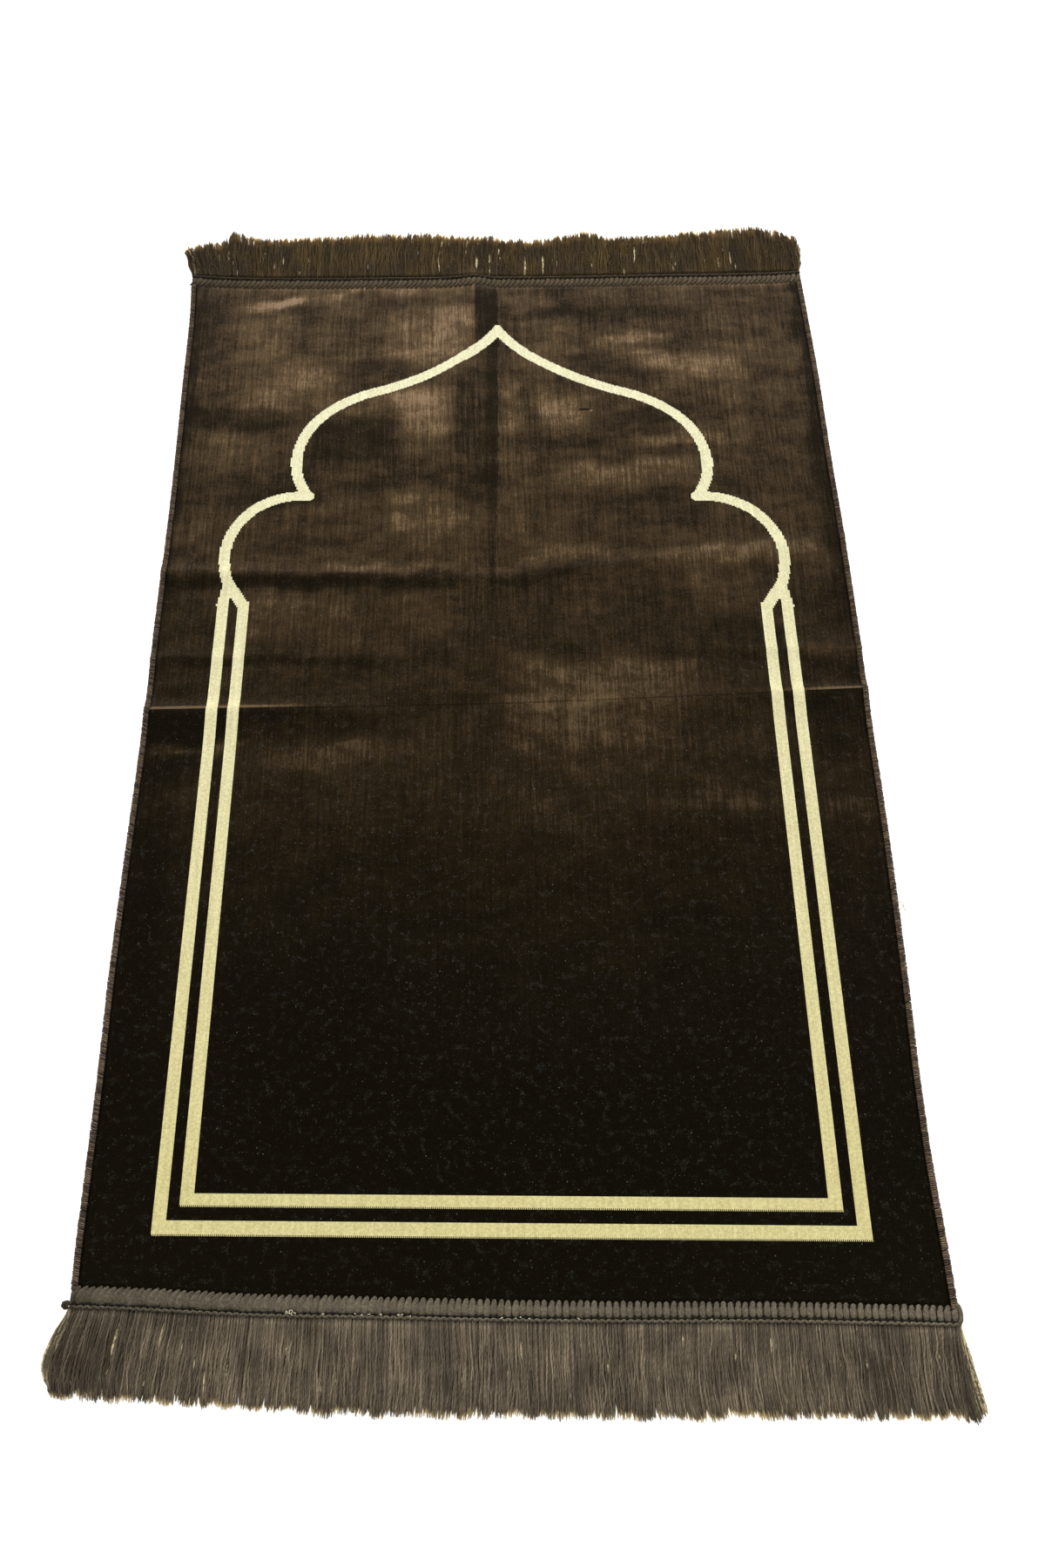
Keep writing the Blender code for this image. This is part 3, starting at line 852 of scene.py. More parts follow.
def fringe_yarn(end, lay, x, layer, tufts, slits, draw):
    """One yarn of a fringe, from inside its heading to its tip on the floor."""
    style = TUFT_STYLES[end.name]
    tuft, place = tuft_at(tufts, x)
    wave_at = Vector((x / EDGE_WAVE_WIDTH, end.seed + 5.0, 0.0))
    reach = lay.reach + EDGE_WAVE_REACH * noise.noise(wave_at)
    reach += tuft.reach + style.rounding * (0.4 - place * place)
    reach += draw.uniform(-style.ragged, style.ragged)
    below = layer.name == "under"
    sway, phase = draw.uniform(0.15, style.sway), draw.uniform(0.0, 6.3)
    sway *= UNDER_SWAY if below else 1.0
    end_glow = 0.9 if below and abs(place) > TUFT_SIDE and draw.random() < 0.7 else 0.0
    glow = draw.random() * getattr(lay, "glow", 0.0)
    waves = draw.uniform(1.2, 2.6)
    jitter = draw.uniform(-0.3, 0.3)
    outer = heading_edge(end, x, 0.95)
    root_z = heading_base(end, x) + layer.root_height
    stations, glints = [], []
    for step in range(YARN_STATIONS):
        share = step / (YARN_STATIONS - 1)
        bent = share**style.delay
        lean = bent * (4.0 * lay.middle - lay.tip)
        lean += 2.0 * bent * bent * (lay.tip - 2.0 * lay.middle)
        swing = sway * math.sin(phase + waves * 2.0 * math.pi * share) * min(share * 3.0, 1.0)
        push, glint = slit_push(slits, x, share)
        glint = max(glint, end_glow if share > 0.92 else 0.0) if below else 0.0
        glint = max(glint, glow)
        push = 0.0 if below else push
        closing = style.closing * place * tuft.half * share**3
        drift = bunch(end, x, share) * BUNCH_SHARE[layer.name]
        at_x = x + lean + swing + drift + push - closing
        at_y = outer + end.outwards * (reach + HEADING_WIDTH * 0.05) * share
        settle = min(share * 4.5, 1.0)
        settle = settle * settle * (3.0 - 2.0 * settle)
        z = root_z + (layer.tip_height - root_z) * settle + jitter * settle
        z += 0.3 * math.sin(phase * 2.0 + waves * 5.0 * share) * settle
        thickness = layer.half * (TIP_TAPER if share == 1.0 else 1.0)
        stations.append(Station(at_x, at_y, max(z, thickness), thickness * layer.broad, thickness))
        glints.append(glint)
    alike = 0.5 + 0.9 * noise.noise(Vector((x / TONE_WIDTH, end.seed + 3.0, 0.0)))
    tone = draw.random() + (min(max(alike, 0.0), 1.0) - draw.random()) * TONE_SHARE
    shade = layer.dark + (layer.pale - layer.dark) * min(max(tone, 0.0), 1.0)
    return Yarn(stations, shade, glints)


def build_fringe(end, yarn_material):
    """One fringe: layers of twisted yarns that bunch and part, and stray fibres on top."""
    draw = random.Random(end.seed + 80)
    lays = {name: curve(end.lay, name) for name in ("reach", "middle", "tip")}
    left, right = heading_ends(end)
    tufts, slits = draw_tufts(end, draw), draw_slits(end)
    pieces = []
    for layer in LAYERS:
        pitch = (right - left) / layer.yarns
        yarns = []
        for index in range(layer.yarns):
            x = left + pitch * (index + 0.5) + draw.uniform(-layer.stray, layer.stray) * pitch
            lay = Lay(x, lays["reach"](x), lays["middle"](x), lays["tip"](x))
            yarns.append(fringe_yarn(end, lay, x, layer, tufts, slits, draw))
        if layer.name in ("middle", "upper"):
            for stray in (stray for fan in FANS[end.name] for stray in fan_yarns(fan)):
                yarns.append(fringe_yarn(end, stray, stray.x, layer, tufts, slits, draw))
        name = end.name + "_fringe_" + layer.name
        sides = YARN_SIDES[layer.name]
        pieces.append(wind_yarns(name, yarns, sides, yarn_material, end.node))
    return pieces


# ---- Loose threads ----

# A loose thread: its name, the solid and slot it belongs to, its finish, its points, and
# half its thickness.
Thread = namedtuple("Thread", "name node slot finish points half")
THREADS = (
    Thread(
        "corner_knot",
        "serged_edge_left",
        "serging_yarn",
        "knot",
        (
            (-346.0, -544.6, 4.6), (-349.4, -543.4, 5.0), (-352.0, -544.0, 4.0),
            (-352.4, -546.2, 3.0), (-350.4, -547.2, 3.2), (-349.2, -545.4, 4.6),
            (-350.8, -544.2, 5.4), (-352.4, -545.2, 4.6), (-350.8, -547.2, 4.4),
            (-348.4, -546.6, 3.4),
        ),
        1.9,
    ),
    Thread(
        "side_curl",
        "serged_edge_right",
        "serging_yarn",
        "pale",
        (
            (349.0, -217.5, 3.6), (351.6, -216.8, 3.8), (354.4, -214.6, 3.4),
            (355.4, -211.8, 2.6), (354.2, -209.6, 2.2), (352.2, -210.4, 2.6),
            (352.4, -212.6, 3.6), (354.0, -214.2, 4.4), (355.0, -217.0, 4.6),
            (354.6, -219.6, 4.0),
        ),
        0.38,
    ),
    Thread(
        "heading_curl",
        "fringe_front",
        "fringe_yarn",
        "pale",
        (
            (-176.4, -548.2, 4.4), (-175.0, -549.4, 4.7), (-173.4, -550.2, 4.9),
            (-171.8, -549.8, 5.0), (-171.0, -548.6, 5.0), (-171.8, -547.6, 5.0),
            (-173.2, -547.8, 5.1), (-173.6, -549.0, 5.2), (-172.6, -550.4, 5.0),
            (-171.0, -551.2, 4.6),
        ),
        0.34,
    ),
    Thread(
        "corner_wrap",
        "fringe_front",
        "fringe_yarn",
        "loop",
        (
            (348.0, -538.6, 4.0), (349.6, -540.6, 4.2), (350.6, -543.6, 3.9),
            (350.8, -547.0, 3.7), (350.4, -550.4, 3.5), (348.8, -553.0, 3.2),
        ),
        1.7,
    ),
)


THREAD_SHADE = 0.1


def build_threads(finishes):
    """The knot and the wrap at the front corners, and the curls of loose thread."""
    pieces = []
    for thread in THREADS:
        stations = [Station(*point, thread.half, thread.half) for point in thread.points]
        yarns, material = [Yarn(stations, THREAD_SHADE)], finishes[thread.finish]
        pieces.append(wind_yarns(thread.name, yarns, 6, material, thread.node))
    return pieces


# Pale stitches that show in the front heading's groove: the stretch they lie in and how many.
PALE_STITCHES = ((-183.0, -77.0, 11), (-15.0, 24.0, 4), (52.0, 54.0, 1), (155.0, 157.0, 1))


def build_pale_stitches(material):
    """Short pale stitches in the front heading's groove."""
    end = ENDS[0]
    draw = random.Random(5)
    yarns = []
    for left, right, count in PALE_STITCHES:
        for _ in range(count):
            x = draw.uniform(left, right)
            y = heading_edge(end, x, draw.uniform(0.76, 0.84))
            z = heading_base(end, x) + 3.3
            half, slant = draw.uniform(0.5, 1.1), draw.uniform(-0.5, 0.5)
            stations = []
            for place in (-1.0, 0.0, 1.0):
                stations.append(Station(x + place * half, y + place * slant, z, 0.42, 0.36))
            yarns.append(Yarn(stations, draw.random()))
    return wind_yarns("front_pale_stitches", yarns, 5, material, end.node)


# ---- Serged sides ----

SERGING_PITCH = 3.5
# The path of one serging stitch, from the pile over the rim to the underside: the
# distance in from the rim, the height, and how far it has moved along the rug.
Wrap = namedtuple("Wrap", "inwards height along")
WRAP = (
    Wrap(5.1, 2.9, -1.0),
    Wrap(4.2, 3.6, -0.8),
    Wrap(2.3, 3.7, -0.4),
    Wrap(0.5, 3.1, 0.0),
    Wrap(-0.2, 1.8, 0.3),
    Wrap(0.4, 0.9, 0.6),
    Wrap(2.8, 0.75, 0.9),
    Wrap(4.8, 0.75, 1.1),
)
# Half the thickness and half the width of a stitch's two yarns, and how far each lies from
# its middle.
WRAP_HALF, WRAP_BROAD = 0.72, 0.86
PLY_APART = 0.82


def serging_yarn(rim, inwards, y, base, bulge, shade):
    """One yarn of a serging stitch, wound over the rug's side."""
    stations = []
    for order, wrap in enumerate(WRAP):
        share = 0.7 if order in (0, len(WRAP) - 1) else 1.0
        x = rim(y) + inwards * (wrap.inwards - (bulge if order in (2, 3, 4) else 0.0))
        z = base + wrap.height
        stations.append(Station(x, y + wrap.along, z, WRAP_HALF * share, WRAP_BROAD * share))
    return Yarn(stations, shade)


# Where the headings lie along the rug, near enough to read a side's X there.
HEADING_Y = 540.0


def serged_stretch(rim, share):
    """Where a serged side starts and stops: this share of the way across each heading."""
    front, back = ENDS
    return heading_edge(front, rim(-HEADING_Y), share), heading_edge(back, rim(HEADING_Y), share)


def build_serging(side, inwards, material):
    """Yarn wound over one long side of the cloth, stitch by stitch."""
    rim = side_x[side]
    draw = random.Random(len(side))
    start, stop = serged_stretch(rim, 0.1)
    count = round((stop - start) / SERGING_PITCH)
    yarns = []
    for index in range(count):
        y = start + (stop - start) * (index + 0.5) / count + draw.uniform(-0.25, 0.25)
        base = lift(rim(y), y)
        bulge = draw.uniform(-0.2, 0.25)
        for ply in (-PLY_APART, PLY_APART):
            own_bulge = bulge + draw.uniform(-0.12, 0.12)
            yarns.append(serging_yarn(rim, inwards, y + ply, base, own_bulge, draw.random()))
    name, node = side + "_serging_stitches", "serged_edge_" + side
    along = Vector((0.0, 1.0, 0.0))
    return wind_yarns(name, yarns, 6, material, node, along)


# The rim's section: the distance in from the rug's side, and the height.
RIM_PROFILE = ((1.0, 0.5), (4.9, 0.4), (4.9, 2.8), (2.0, 2.9), (1.0, 2.0))


def build_rim(side, inwards, material):
    """The cloth's own rim inside the serging."""
    rim = side_x[side]
    start, stop = serged_stretch(rim, 0.0)
    cells = round((stop - start) / CELL)
    sections = []
    for step in range(cells + 1):
        y = start + (stop - start) * step / cells
        base = lift(rim(y), y)
        sections.append([metres(rim(y) + inwards * x, y, base + z) for x, z in RIM_PROFILE])
    mesh = sweep_profile(sections)
    name, node = side + "_serging_rim", "serged_edge_" + side
    return finish_piece(name, mesh, [material], node)


# ---- Materials ----


class Board:
    """The nodes of a material or a node group, and short ways to wire them."""

    def __init__(self, tree):
        self.tree = tree

    def add(self, kind, **settings):
        """A new node."""
        node = self.tree.nodes.new("ShaderNode" + kind)
        for name, value in settings.items():
            setattr(node, name, value)
        return node

    def feed(self, socket, value):
        """Link a socket to another node's, or give it a plain value."""
        if isinstance(value, bpy.types.NodeSocket):
            self.tree.links.new(value, socket)
        else:
            socket.default_value = value

    def calc(self, operation, *values):
        """The result of a Math node."""
        node = self.add("Math", operation=operation)
        for socket, value in zip(node.inputs, values):
            self.feed(socket, value)
        return node.outputs[0]

    def times(self, first, *others):
        """Values multiplied together."""
        for other in others:
            first = self.calc("MULTIPLY", first, other)
        return first

    def plus(self, first, second):
        """Two values added up."""
        return self.calc("ADD", first, second)

    def vector(self, operation, *values, output="Vector"):
        """The result of a Vector Math node."""
        node = self.add("VectorMath", operation=operation)
        for socket, value in zip(node.inputs, values):
            self.feed(socket, value)
        return node.outputs[output]

    def scaled(self, value, factor):
        """A vector made longer or shorter."""
        node = self.add("VectorMath", operation="SCALE")
        self.feed(node.inputs[0], value)
        self.feed(node.inputs["Scale"], factor)
        return node.outputs[0]

    def parts(self, value):
        """The three parts of a vector."""
        node = self.add("SeparateXYZ")
        self.feed(node.inputs[0], value)
        return node.outputs

    def join(self, x, y, z=0.0):
        """A vector from its three parts."""
        node = self.add("CombineXYZ")
        for socket, value in zip(node.inputs, (x, y, z)):
            self.feed(socket, value)
        return node.outputs[0]

    def noise(self, place, scale, detail=2.0, roughness=0.5):
        """Soft noise from 0 to 1."""
        node = self.add("TexNoise")
        self.feed(node.inputs["Vector"], place)
        node.inputs["Scale"].default_value = scale
        node.inputs["Detail"].default_value = detail
        node.inputs["Roughness"].default_value = roughness
        return node.outputs[0]

    def speckle(self, place):
        """A random value for each whole number."""
        node = self.add("TexWhiteNoise", noise_dimensions="2D")
        self.feed(node.inputs["Vector"], place)
        return node.outputs["Value"]

    def span(self, value, low, high, to_low=0.0, to_high=1.0, kind="LINEAR"):
        """A value moved from one range to another, and kept inside it."""
        node = self.add("MapRange", interpolation_type=kind)
        for socket, number in zip(node.inputs, (value, low, high, to_low, to_high)):
            self.feed(socket, number)
        return node.outputs[0]

    def blend(self, share, first, second, kind="MIX"):
        """A mix of two colours."""
        node = self.add("Mix", data_type="RGBA", blend_type=kind)
        self.feed(node.inputs[0], share)
        self.feed(node.inputs[6], first)
        self.feed(node.inputs[7], second)
        return node.outputs[2]

    def shade(self, colour, tone):
        """A colour made darker or lighter by a tone around 1."""
        return self.blend(1.0, colour, self.join(tone, tone, tone), "MULTIPLY")

    def attribute(self, name, output="Vector"):
        """One of the piece's own attributes."""
        return self.add("Attribute", attribute_name=name).outputs[output]

    def bump(self, height, distance, strength=1.0, normal=None):
        """A normal shaped by a height in metres times distance."""
        node = self.add("Bump")
        node.inputs["Strength"].default_value = strength
        node.inputs["Distance"].default_value = distance
        self.feed(node.inputs["Height"], height)
        if normal is not None:
            self.feed(node.inputs["Normal"], normal)
        return node.outputs[0]

    def group(self, group, **values):
        """A node group, placed with its own values."""
        node = self.add("Group", node_tree=group)
        for name, value in values.items():
            self.feed(node.inputs[name], value)
        return node.outputs


def new_group(name, inputs, outputs):
    """An empty node group with named sockets: its board, its inputs and its output node."""
    group = bpy.data.node_groups.new(name, "ShaderNodeTree")
    for label, kind in inputs:
        group.interface.new_socket(label, in_out="INPUT", socket_type="NodeSocket" + kind)
    for label, kind in outputs:
        group.interface.new_socket(label, in_out="OUTPUT", socket_type="NodeSocket" + kind)
    board = Board(group)
    entry = group.nodes.new("NodeGroupInput")
    leave = group.nodes.new("NodeGroupOutput")
    return group, board, entry.outputs, leave.inputs


# The arch, on its right half: circles that run into each other, each with its centre,
# its radius, and the directions from its centre in which it starts and ends, in degrees.
Arc = namedtuple("Arc", "x y radius start end")
# Half the width of every light stripe.
STRIPE_HALF = 5.7
# The two upright stripes on each side and the two stripes across the front end.
OUTER_X, INNER_X = 284.3, 263.0
OUTER_Y, INNER_Y = -488.1, -466.8
COLUMN_TOP = 104.0
# The widest points of the arch's lower lobe and of its shoulder.
LOBE_X, LOBE_Y, LOBE_RADIUS = 287.0, 160.0, 74.5
LOBE_FOOT_RADIUS = 105.0
SHOULDER_X, SHOULDER_Y, SHOULDER_RADIUS = 219.3, 278.0, 90.0
SHOULDER_FOOT_RADIUS = 72.0
CROWN_RADIUS, HOLLOW_RADIUS, POINT_RADIUS = 138.0, 345.0, 150.0
SHOULDER_END, CROWN_END, HOLLOW_END, POINT_END = 47.2, 72.6, 53.9, 26.0
# The cusp between lobe and shoulder: its round end, how far that lies above the lobe's top,
# how far above the lobe's stripe the pattern is kept again, and its straight run.
CUSP_X, CUSP_RISE, CUSP_CLEAR = 203.8, 0.4, 20.0
CUSP_RUN = (212.5, 190.0)
# Where the arch's foot forks into the tops of the two upright stripes.
BRANCHES = (((281.5, 127.0), (262.5, 97.5)), ((280.5, 124.0), (285.2, 97.5)))
POINT_TOP = 472.0


def arch_arcs():
    """The arch's arcs, each starting where the one before it ends, in the same direction."""
    lobe_centre = Vector((LOBE_X - LOBE_RADIUS, LOBE_Y))
    foot_centre = Vector((LOBE_X - LOBE_FOOT_RADIUS, LOBE_Y))
    shoulder = Vector((SHOULDER_X - SHOULDER_RADIUS, SHOULDER_Y))
    shoulder_foot = Vector((SHOULDER_X - SHOULDER_FOOT_RADIUS, SHOULDER_Y))

    def from_degrees(angle):
        return Vector((math.cos(math.radians(angle)), math.sin(math.radians(angle))))

    crown = shoulder + from_degrees(SHOULDER_END) * (SHOULDER_RADIUS - CROWN_RADIUS)
    hollow = crown + from_degrees(CROWN_END) * (CROWN_RADIUS + HOLLOW_RADIUS)
    point = hollow - from_degrees(HOLLOW_END) * (HOLLOW_RADIUS - POINT_RADIUS)
    return (
        Arc(*foot_centre, LOBE_FOOT_RADIUS, -24.0, 0.0),
        Arc(*lobe_centre, LOBE_RADIUS, 0.0, 90.0),
        Arc(*shoulder_foot, SHOULDER_FOOT_RADIUS, -40.0, 0.0),
        Arc(*shoulder, SHOULDER_RADIUS, 0.0, SHOULDER_END),
        Arc(*crown, CROWN_RADIUS, SHOULDER_END, CROWN_END),
        Arc(*hollow, HOLLOW_RADIUS, CROWN_END + 180.0, HOLLOW_END + 180.0),
        Arc(*point, POINT_RADIUS, HOLLOW_END + 180.0, POINT_END + 180.0),
    )


FAR = 1000.0


def arc_distance(board, place, arc):
    """How far a place is from an arc, or very far where the arc doesn't reach."""
    from_centre = board.vector("SUBTRACT", place, (arc.x, arc.y, 0.0))
    length = board.vector("LENGTH", from_centre, output="Value")
    distance = board.calc("ABSOLUTE", board.calc("SUBTRACT", length, arc.radius))
    low, high = sorted((arc.start, arc.end))
    for angle, sign in ((low, 1.0), (high, -1.0)):
        turned = math.radians(angle + 90.0)
        wall = (sign * math.cos(turned), sign * math.sin(turned), 0.0)
        inside = board.vector("DOT_PRODUCT", from_centre, wall, output="Value")
        missed = board.calc("LESS_THAN", inside, -0.01)
        distance = board.calc("MULTIPLY_ADD", missed, FAR, distance)
    return distance


def segment_distance(board, place, start, end):
    """How far a place is from a straight stretch, or very far past its ends."""
    run = Vector(end) - Vector(start)
    ahead = run.normalized()
    from_start = board.vector("SUBTRACT", place, (*start, 0.0))
    along = board.vector("DOT_PRODUCT", from_start, (*ahead, 0.0), output="Value")
    beside = board.vector("DOT_PRODUCT", from_start, (-ahead.y, ahead.x, 0.0), output="Value")
    distance = board.calc("ABSOLUTE", beside)
    for missed in (
        board.calc("LESS_THAN", along, 0.0),
        board.calc("GREATER_THAN", along, run.length),
    ):
        distance = board.calc("MULTIPLY_ADD", missed, FAR, distance)
    return distance


def niche_distance(board, x, y, tooth, column_x, bar_y):
    """How far a place is from two upright stripes joined by a toothed one across the front end."""
    beside = board.calc("SUBTRACT", x, column_x)
    below = board.calc("SUBTRACT", bar_y, y)
    toothed = board.times(board.calc("GREATER_THAN", below, 0.0), tooth)
    below = board.plus(below, toothed)
    return board.calc("ABSOLUTE", board.calc("MAXIMUM", beside, below))


def make_pattern_group():
    """Node group: 1 on the light stripes of the arch and its columns, and 0 elsewhere."""
    group, board, entry, leave = new_group(
        "arch and columns", [("Place", "Vector"), ("Tooth", "Float")], [("Light", "Float")]
    )
    x, y, _ = board.parts(entry["Place"])
    x = board.calc("ABSOLUTE", x)
    place = board.join(x, y)
    distances = [arc_distance(board, place, arc) for arc in arch_arcs()]
    lobe_top = LOBE_Y + LOBE_RADIUS
    run_start, run_end = ((x_end, lobe_top) for x_end in CUSP_RUN)
    distances.append(segment_distance(board, place, run_start, run_end))
    nearest = distances[0]
    for distance in distances[1:]:
        nearest = board.calc("MINIMUM", nearest, distance)
    from_cusp = board.vector("SUBTRACT", place, (CUSP_X, lobe_top + CUSP_RISE, 0.0))
    cusp = board.vector("LENGTH", from_cusp, output="Value")
    outside_cusp = board.calc("GREATER_THAN", x, CUSP_X)
    above_cusp = board.calc("GREATER_THAN", y, lobe_top + STRIPE_HALF + CUSP_CLEAR)
    kept = board.calc("MAXIMUM", outside_cusp, above_cusp)
    cut = board.times(board.calc("SUBTRACT", 1.0, kept), FAR)
    nearest = board.calc("MINIMUM", board.plus(nearest, cut), cusp)
    nearest = board.calc(
        "MULTIPLY_ADD", board.calc("GREATER_THAN", y, POINT_TOP), FAR, nearest
    )
    columns = board.calc(
        "MINIMUM",
        niche_distance(board, x, y, entry["Tooth"], OUTER_X, OUTER_Y),
        niche_distance(board, x, y, entry["Tooth"], INNER_X, INNER_Y),
    )
    past_top = board.calc("GREATER_THAN", y, COLUMN_TOP)
    columns = board.calc("MULTIPLY_ADD", past_top, FAR, columns)
    for start, stop in BRANCHES:
        nearest = board.calc("MINIMUM", nearest, segment_distance(board, place, start, stop))
    nearest = board.calc("MINIMUM", nearest, columns)
    board.feed(leave["Light"], board.calc("LESS_THAN", nearest, STRIPE_HALF))
    return group


def make_knot_group():
    """Node group: the middle of the knot under a place, and that knot's own random value."""
    group, board, entry, leave = new_group(
        "woven knots",
        [("Place", "Vector")],
        [("Knot", "Vector"), ("Chance", "Float"), ("Ribs", "Float")],
    )
    x, y, _ = board.parts(entry["Place"])
    column = board.calc("FLOOR", board.calc("DIVIDE", x, KNOT_WIDTH))
    row = board.calc("FLOOR", board.calc("DIVIDE", y, KNOT_LENGTH))
    middle_x = board.times(board.plus(column, 0.5), KNOT_WIDTH)
    middle_y = board.times(board.plus(row, 0.5), KNOT_LENGTH)
    board.feed(leave["Knot"], board.join(middle_x, middle_y))
    board.feed(leave["Chance"], board.speckle(board.join(column, row)))
    wave = board.calc("SINE", board.times(x, 2.0 * math.pi / KNOT_WIDTH))
    board.feed(leave["Ribs"], wave)
    return group


def make_twist_group():
    """Node group: the height and shade of a two-ply yarn, from its turn and its lot."""
    group, board, entry, leave = new_group(
        "twisted yarn",
        [("Turn", "Vector"), ("Lot", "Vector"), ("Twist", "Float")],
        [("Height", "Float"), ("Shade", "Float")],
    )
    cosine, sine, along = board.parts(entry["Turn"])
    shade, _, _ = board.parts(entry["Lot"])
    twice_sine = board.times(board.times(sine, cosine), 2.0)
    twice_cosine = board.calc(
        "SUBTRACT", board.times(cosine, cosine), board.times(sine, sine)
    )
    phase = board.times(along, board.calc("DIVIDE", 2.0 * math.pi, entry["Twist"]))
    phase = board.plus(phase, board.times(shade, 6.3))
    ply = board.calc(
        "ADD",
        board.times(twice_sine, board.calc("COSINE", phase)),
        board.times(twice_cosine, board.calc("SINE", phase)),
    )
    height = board.span(ply, -1.0, 1.0)
    board.feed(leave["Height"], height)
    # Painted shade in the grooves between the two plies.
    groove_shade = board.span(height, 0.0, 0.6, 0.60, 1.04)
    lots = board.span(shade, 0.0, 1.0, 0.42, 1.46)
    board.feed(leave["Shade"], board.times(groove_shade, lots))
    return group


def new_material(name, roughness, specular):
    """A material's board and its Principled shader."""
    material = bpy.data.materials.new(name)
    material.use_nodes = True
    shader = material.node_tree.nodes["Principled BSDF"]
    shader.inputs["Roughness"].default_value = roughness
    shader.inputs["Specular IOR Level"].default_value = specular
    return material, Board(material.node_tree), shader


PILE_DEEP = (0.0006, 0.0016, 0.0008, 1.0)
PILE_DEEP_FRONT = (0.0002, 0.0014, 0.0012, 1.0)
# The pile's brown and its paler sheen colour are painted sheen.
PILE_SHEEN_BROWN = (0.1750, 0.1060, 0.0440, 1.0)
PILE_SPECK = (0.1000, 0.0850, 0.0500, 1.0)
PILE_SHEEN = (0.2300, 0.1620, 0.0960, 1.0)
# How much of its brown, a painted sheen, the pile shows, which grows towards the arch's
# end.
SHEEN_RAMP_FRONT, SHEEN_RAMP_BACK, SHEEN_RAMP_START, SHEEN_RAMP_STOP = 0.012, 1.0, -400.0, 400.0
# The stripes' cream at the front end and at the arch's end, paler there: a painted sheen.
STRIPE_FRONT = (0.82, 0.75, 0.37, 1.0)
STRIPE_BACK_SHEEN = (1.0, 0.98, 0.68, 1.0)
STRIPE_SHADE = (0.62, 0.58, 0.48, 1.0)
LINT = (0.30, 0.29, 0.26, 1.0)
PILE_SHINE = (1.0, 0.56, 0.20, 1.0)


# Lint: the size of the cells that may hold a speck, the share that do, and a speck's radius.
Lint = namedtuple("Lint", "cell share radius")
LINTS = (Lint(5.0, 0.40, 0.50), Lint(2.6, 0.22, 0.32), Lint(1.9, 0.12, 0.30))
# Curly hairs: how fine their curls are, how fine the patches they lie in, and how broad they
# look.
CURL_SCALE, CURL_PATCH_SCALE, CURL_HALF = 0.42, 0.13, 0.035


# Straight strips of painted shade and painted highlight, mostly along the crease that runs
# along the rug, which tilt the pile's normal too, and a small dark mark with a pale dot: their
# left and right edge, their front and back end, how softly those ends fade, and how much
# lighter or darker they look.
Strip = namedtuple("Strip", "left right front back fade amount")
STRIPS = (
    Strip(-30.6, -4.5, 446.0, 640.0, 24.0, -0.46),
    Strip(-17.8, -4.7, 235.0, 446.0, 36.0, -0.40),
    Strip(-15.4, -7.5, 100.0, 235.0, 36.0, -0.26),
    Strip(-76.0, -30.6, 440.0, 640.0, 30.0, 0.14),
    Strip(-51.0, -17.8, 230.0, 425.0, 36.0, -0.18),
    Strip(-4.6, 30.0, 250.0, 330.0, 36.0, 0.10),
    Strip(84.0, 95.0, 349.4, 351.8, 0.6, -1.0),
    Strip(95.5, 98.0, 348.0, 350.0, 0.6, 0.9),
)
STRIP_EDGE = 0.7


def strip_tone(board, spot, ragged):
    """How much lighter or darker the pile looks on the strips."""
    x, y, _ = board.parts(spot)
    x = board.plus(x, ragged)
    tone = 0.0
    for strip in STRIPS:
        inside = board.calc(
            "MULTIPLY",
            board.span(x, strip.left - STRIP_EDGE, strip.left + STRIP_EDGE),
            board.span(x, strip.right - STRIP_EDGE, strip.right + STRIP_EDGE, 1.0, 0.0),
        )
        reach = board.calc(
            "MULTIPLY",
            board.span(y, strip.front - strip.fade, strip.front + strip.fade),
            board.span(y, strip.back - strip.fade, strip.back + strip.fade, 1.0, 0.0),
        )
        inside = board.times(inside, reach)
        tone = board.calc("MULTIPLY_ADD", inside, strip.amount, tone)
    return tone


def crease_tone(board, spot):
    """How the pile shines on the crest of the crease across the rug and darkens before it: a painted
    highlight, and painted shade with a thin darker line just before the crest.
    """
    x, _, _ = board.parts(spot)
    crest = board.attribute("crest", "Fac")
    left, right = board.span(x, -310.0, -170.0, 1.0, 0.0), board.span(x, 240.0, 320.0, 0.0, 0.5)
    line = board.times(board.span(crest, -0.3, 0.3), board.span(crest, 2.2, 4.2, 1.0, 0.0), 1.9)
    hollow = board.times(board.span(crest, -24.0, -4.0), board.span(crest, -0.3, 0.3, 1.0, 0.0))
    tone = board.calc("MULTIPLY_ADD", hollow, -0.75, line)
    tone = board.times(board.calc("MAXIMUM", left, right), tone)
    shade_line = board.times(board.span(crest, -2.0, -1.0), board.span(crest, -0.6, 0.2, 1.0, 0.0))
    return board.calc("MULTIPLY_ADD", shade_line, -0.28, tone)


def lint_mask(board, place, y):
    """Small pale specks and hairs caught in the pile, most of them towards the front end."""
    mask = None
    for lint in LINTS:
        cells = board.add("TexVoronoi")
        cells.inputs["Scale"].default_value = 1.0 / lint.cell
        board.feed(cells.inputs["Vector"], place)
        near = board.calc("LESS_THAN", cells.outputs["Distance"], lint.radius / lint.cell)
        chance, size, _ = board.parts(cells.outputs["Color"])
        there = board.calc("LESS_THAN", chance, lint.share)
        speck = board.times(board.times(near, there), size)
        mask = speck if mask is None else board.calc("MAXIMUM", mask, speck)
    curls = board.noise(place, CURL_SCALE, detail=1.0)
    from_curl = board.calc("ABSOLUTE", board.calc("SUBTRACT", curls, 0.5))
    line = board.calc("LESS_THAN", from_curl, CURL_HALF)
    some = board.span(board.noise(place, CURL_PATCH_SCALE, detail=1.0), 0.56, 0.66, 0.0, 0.15)
    mask = board.calc("MAXIMUM", mask, board.times(line, some))
    return board.times(mask, board.span(y, -100.0, 300.0, 0.5, 0.2))


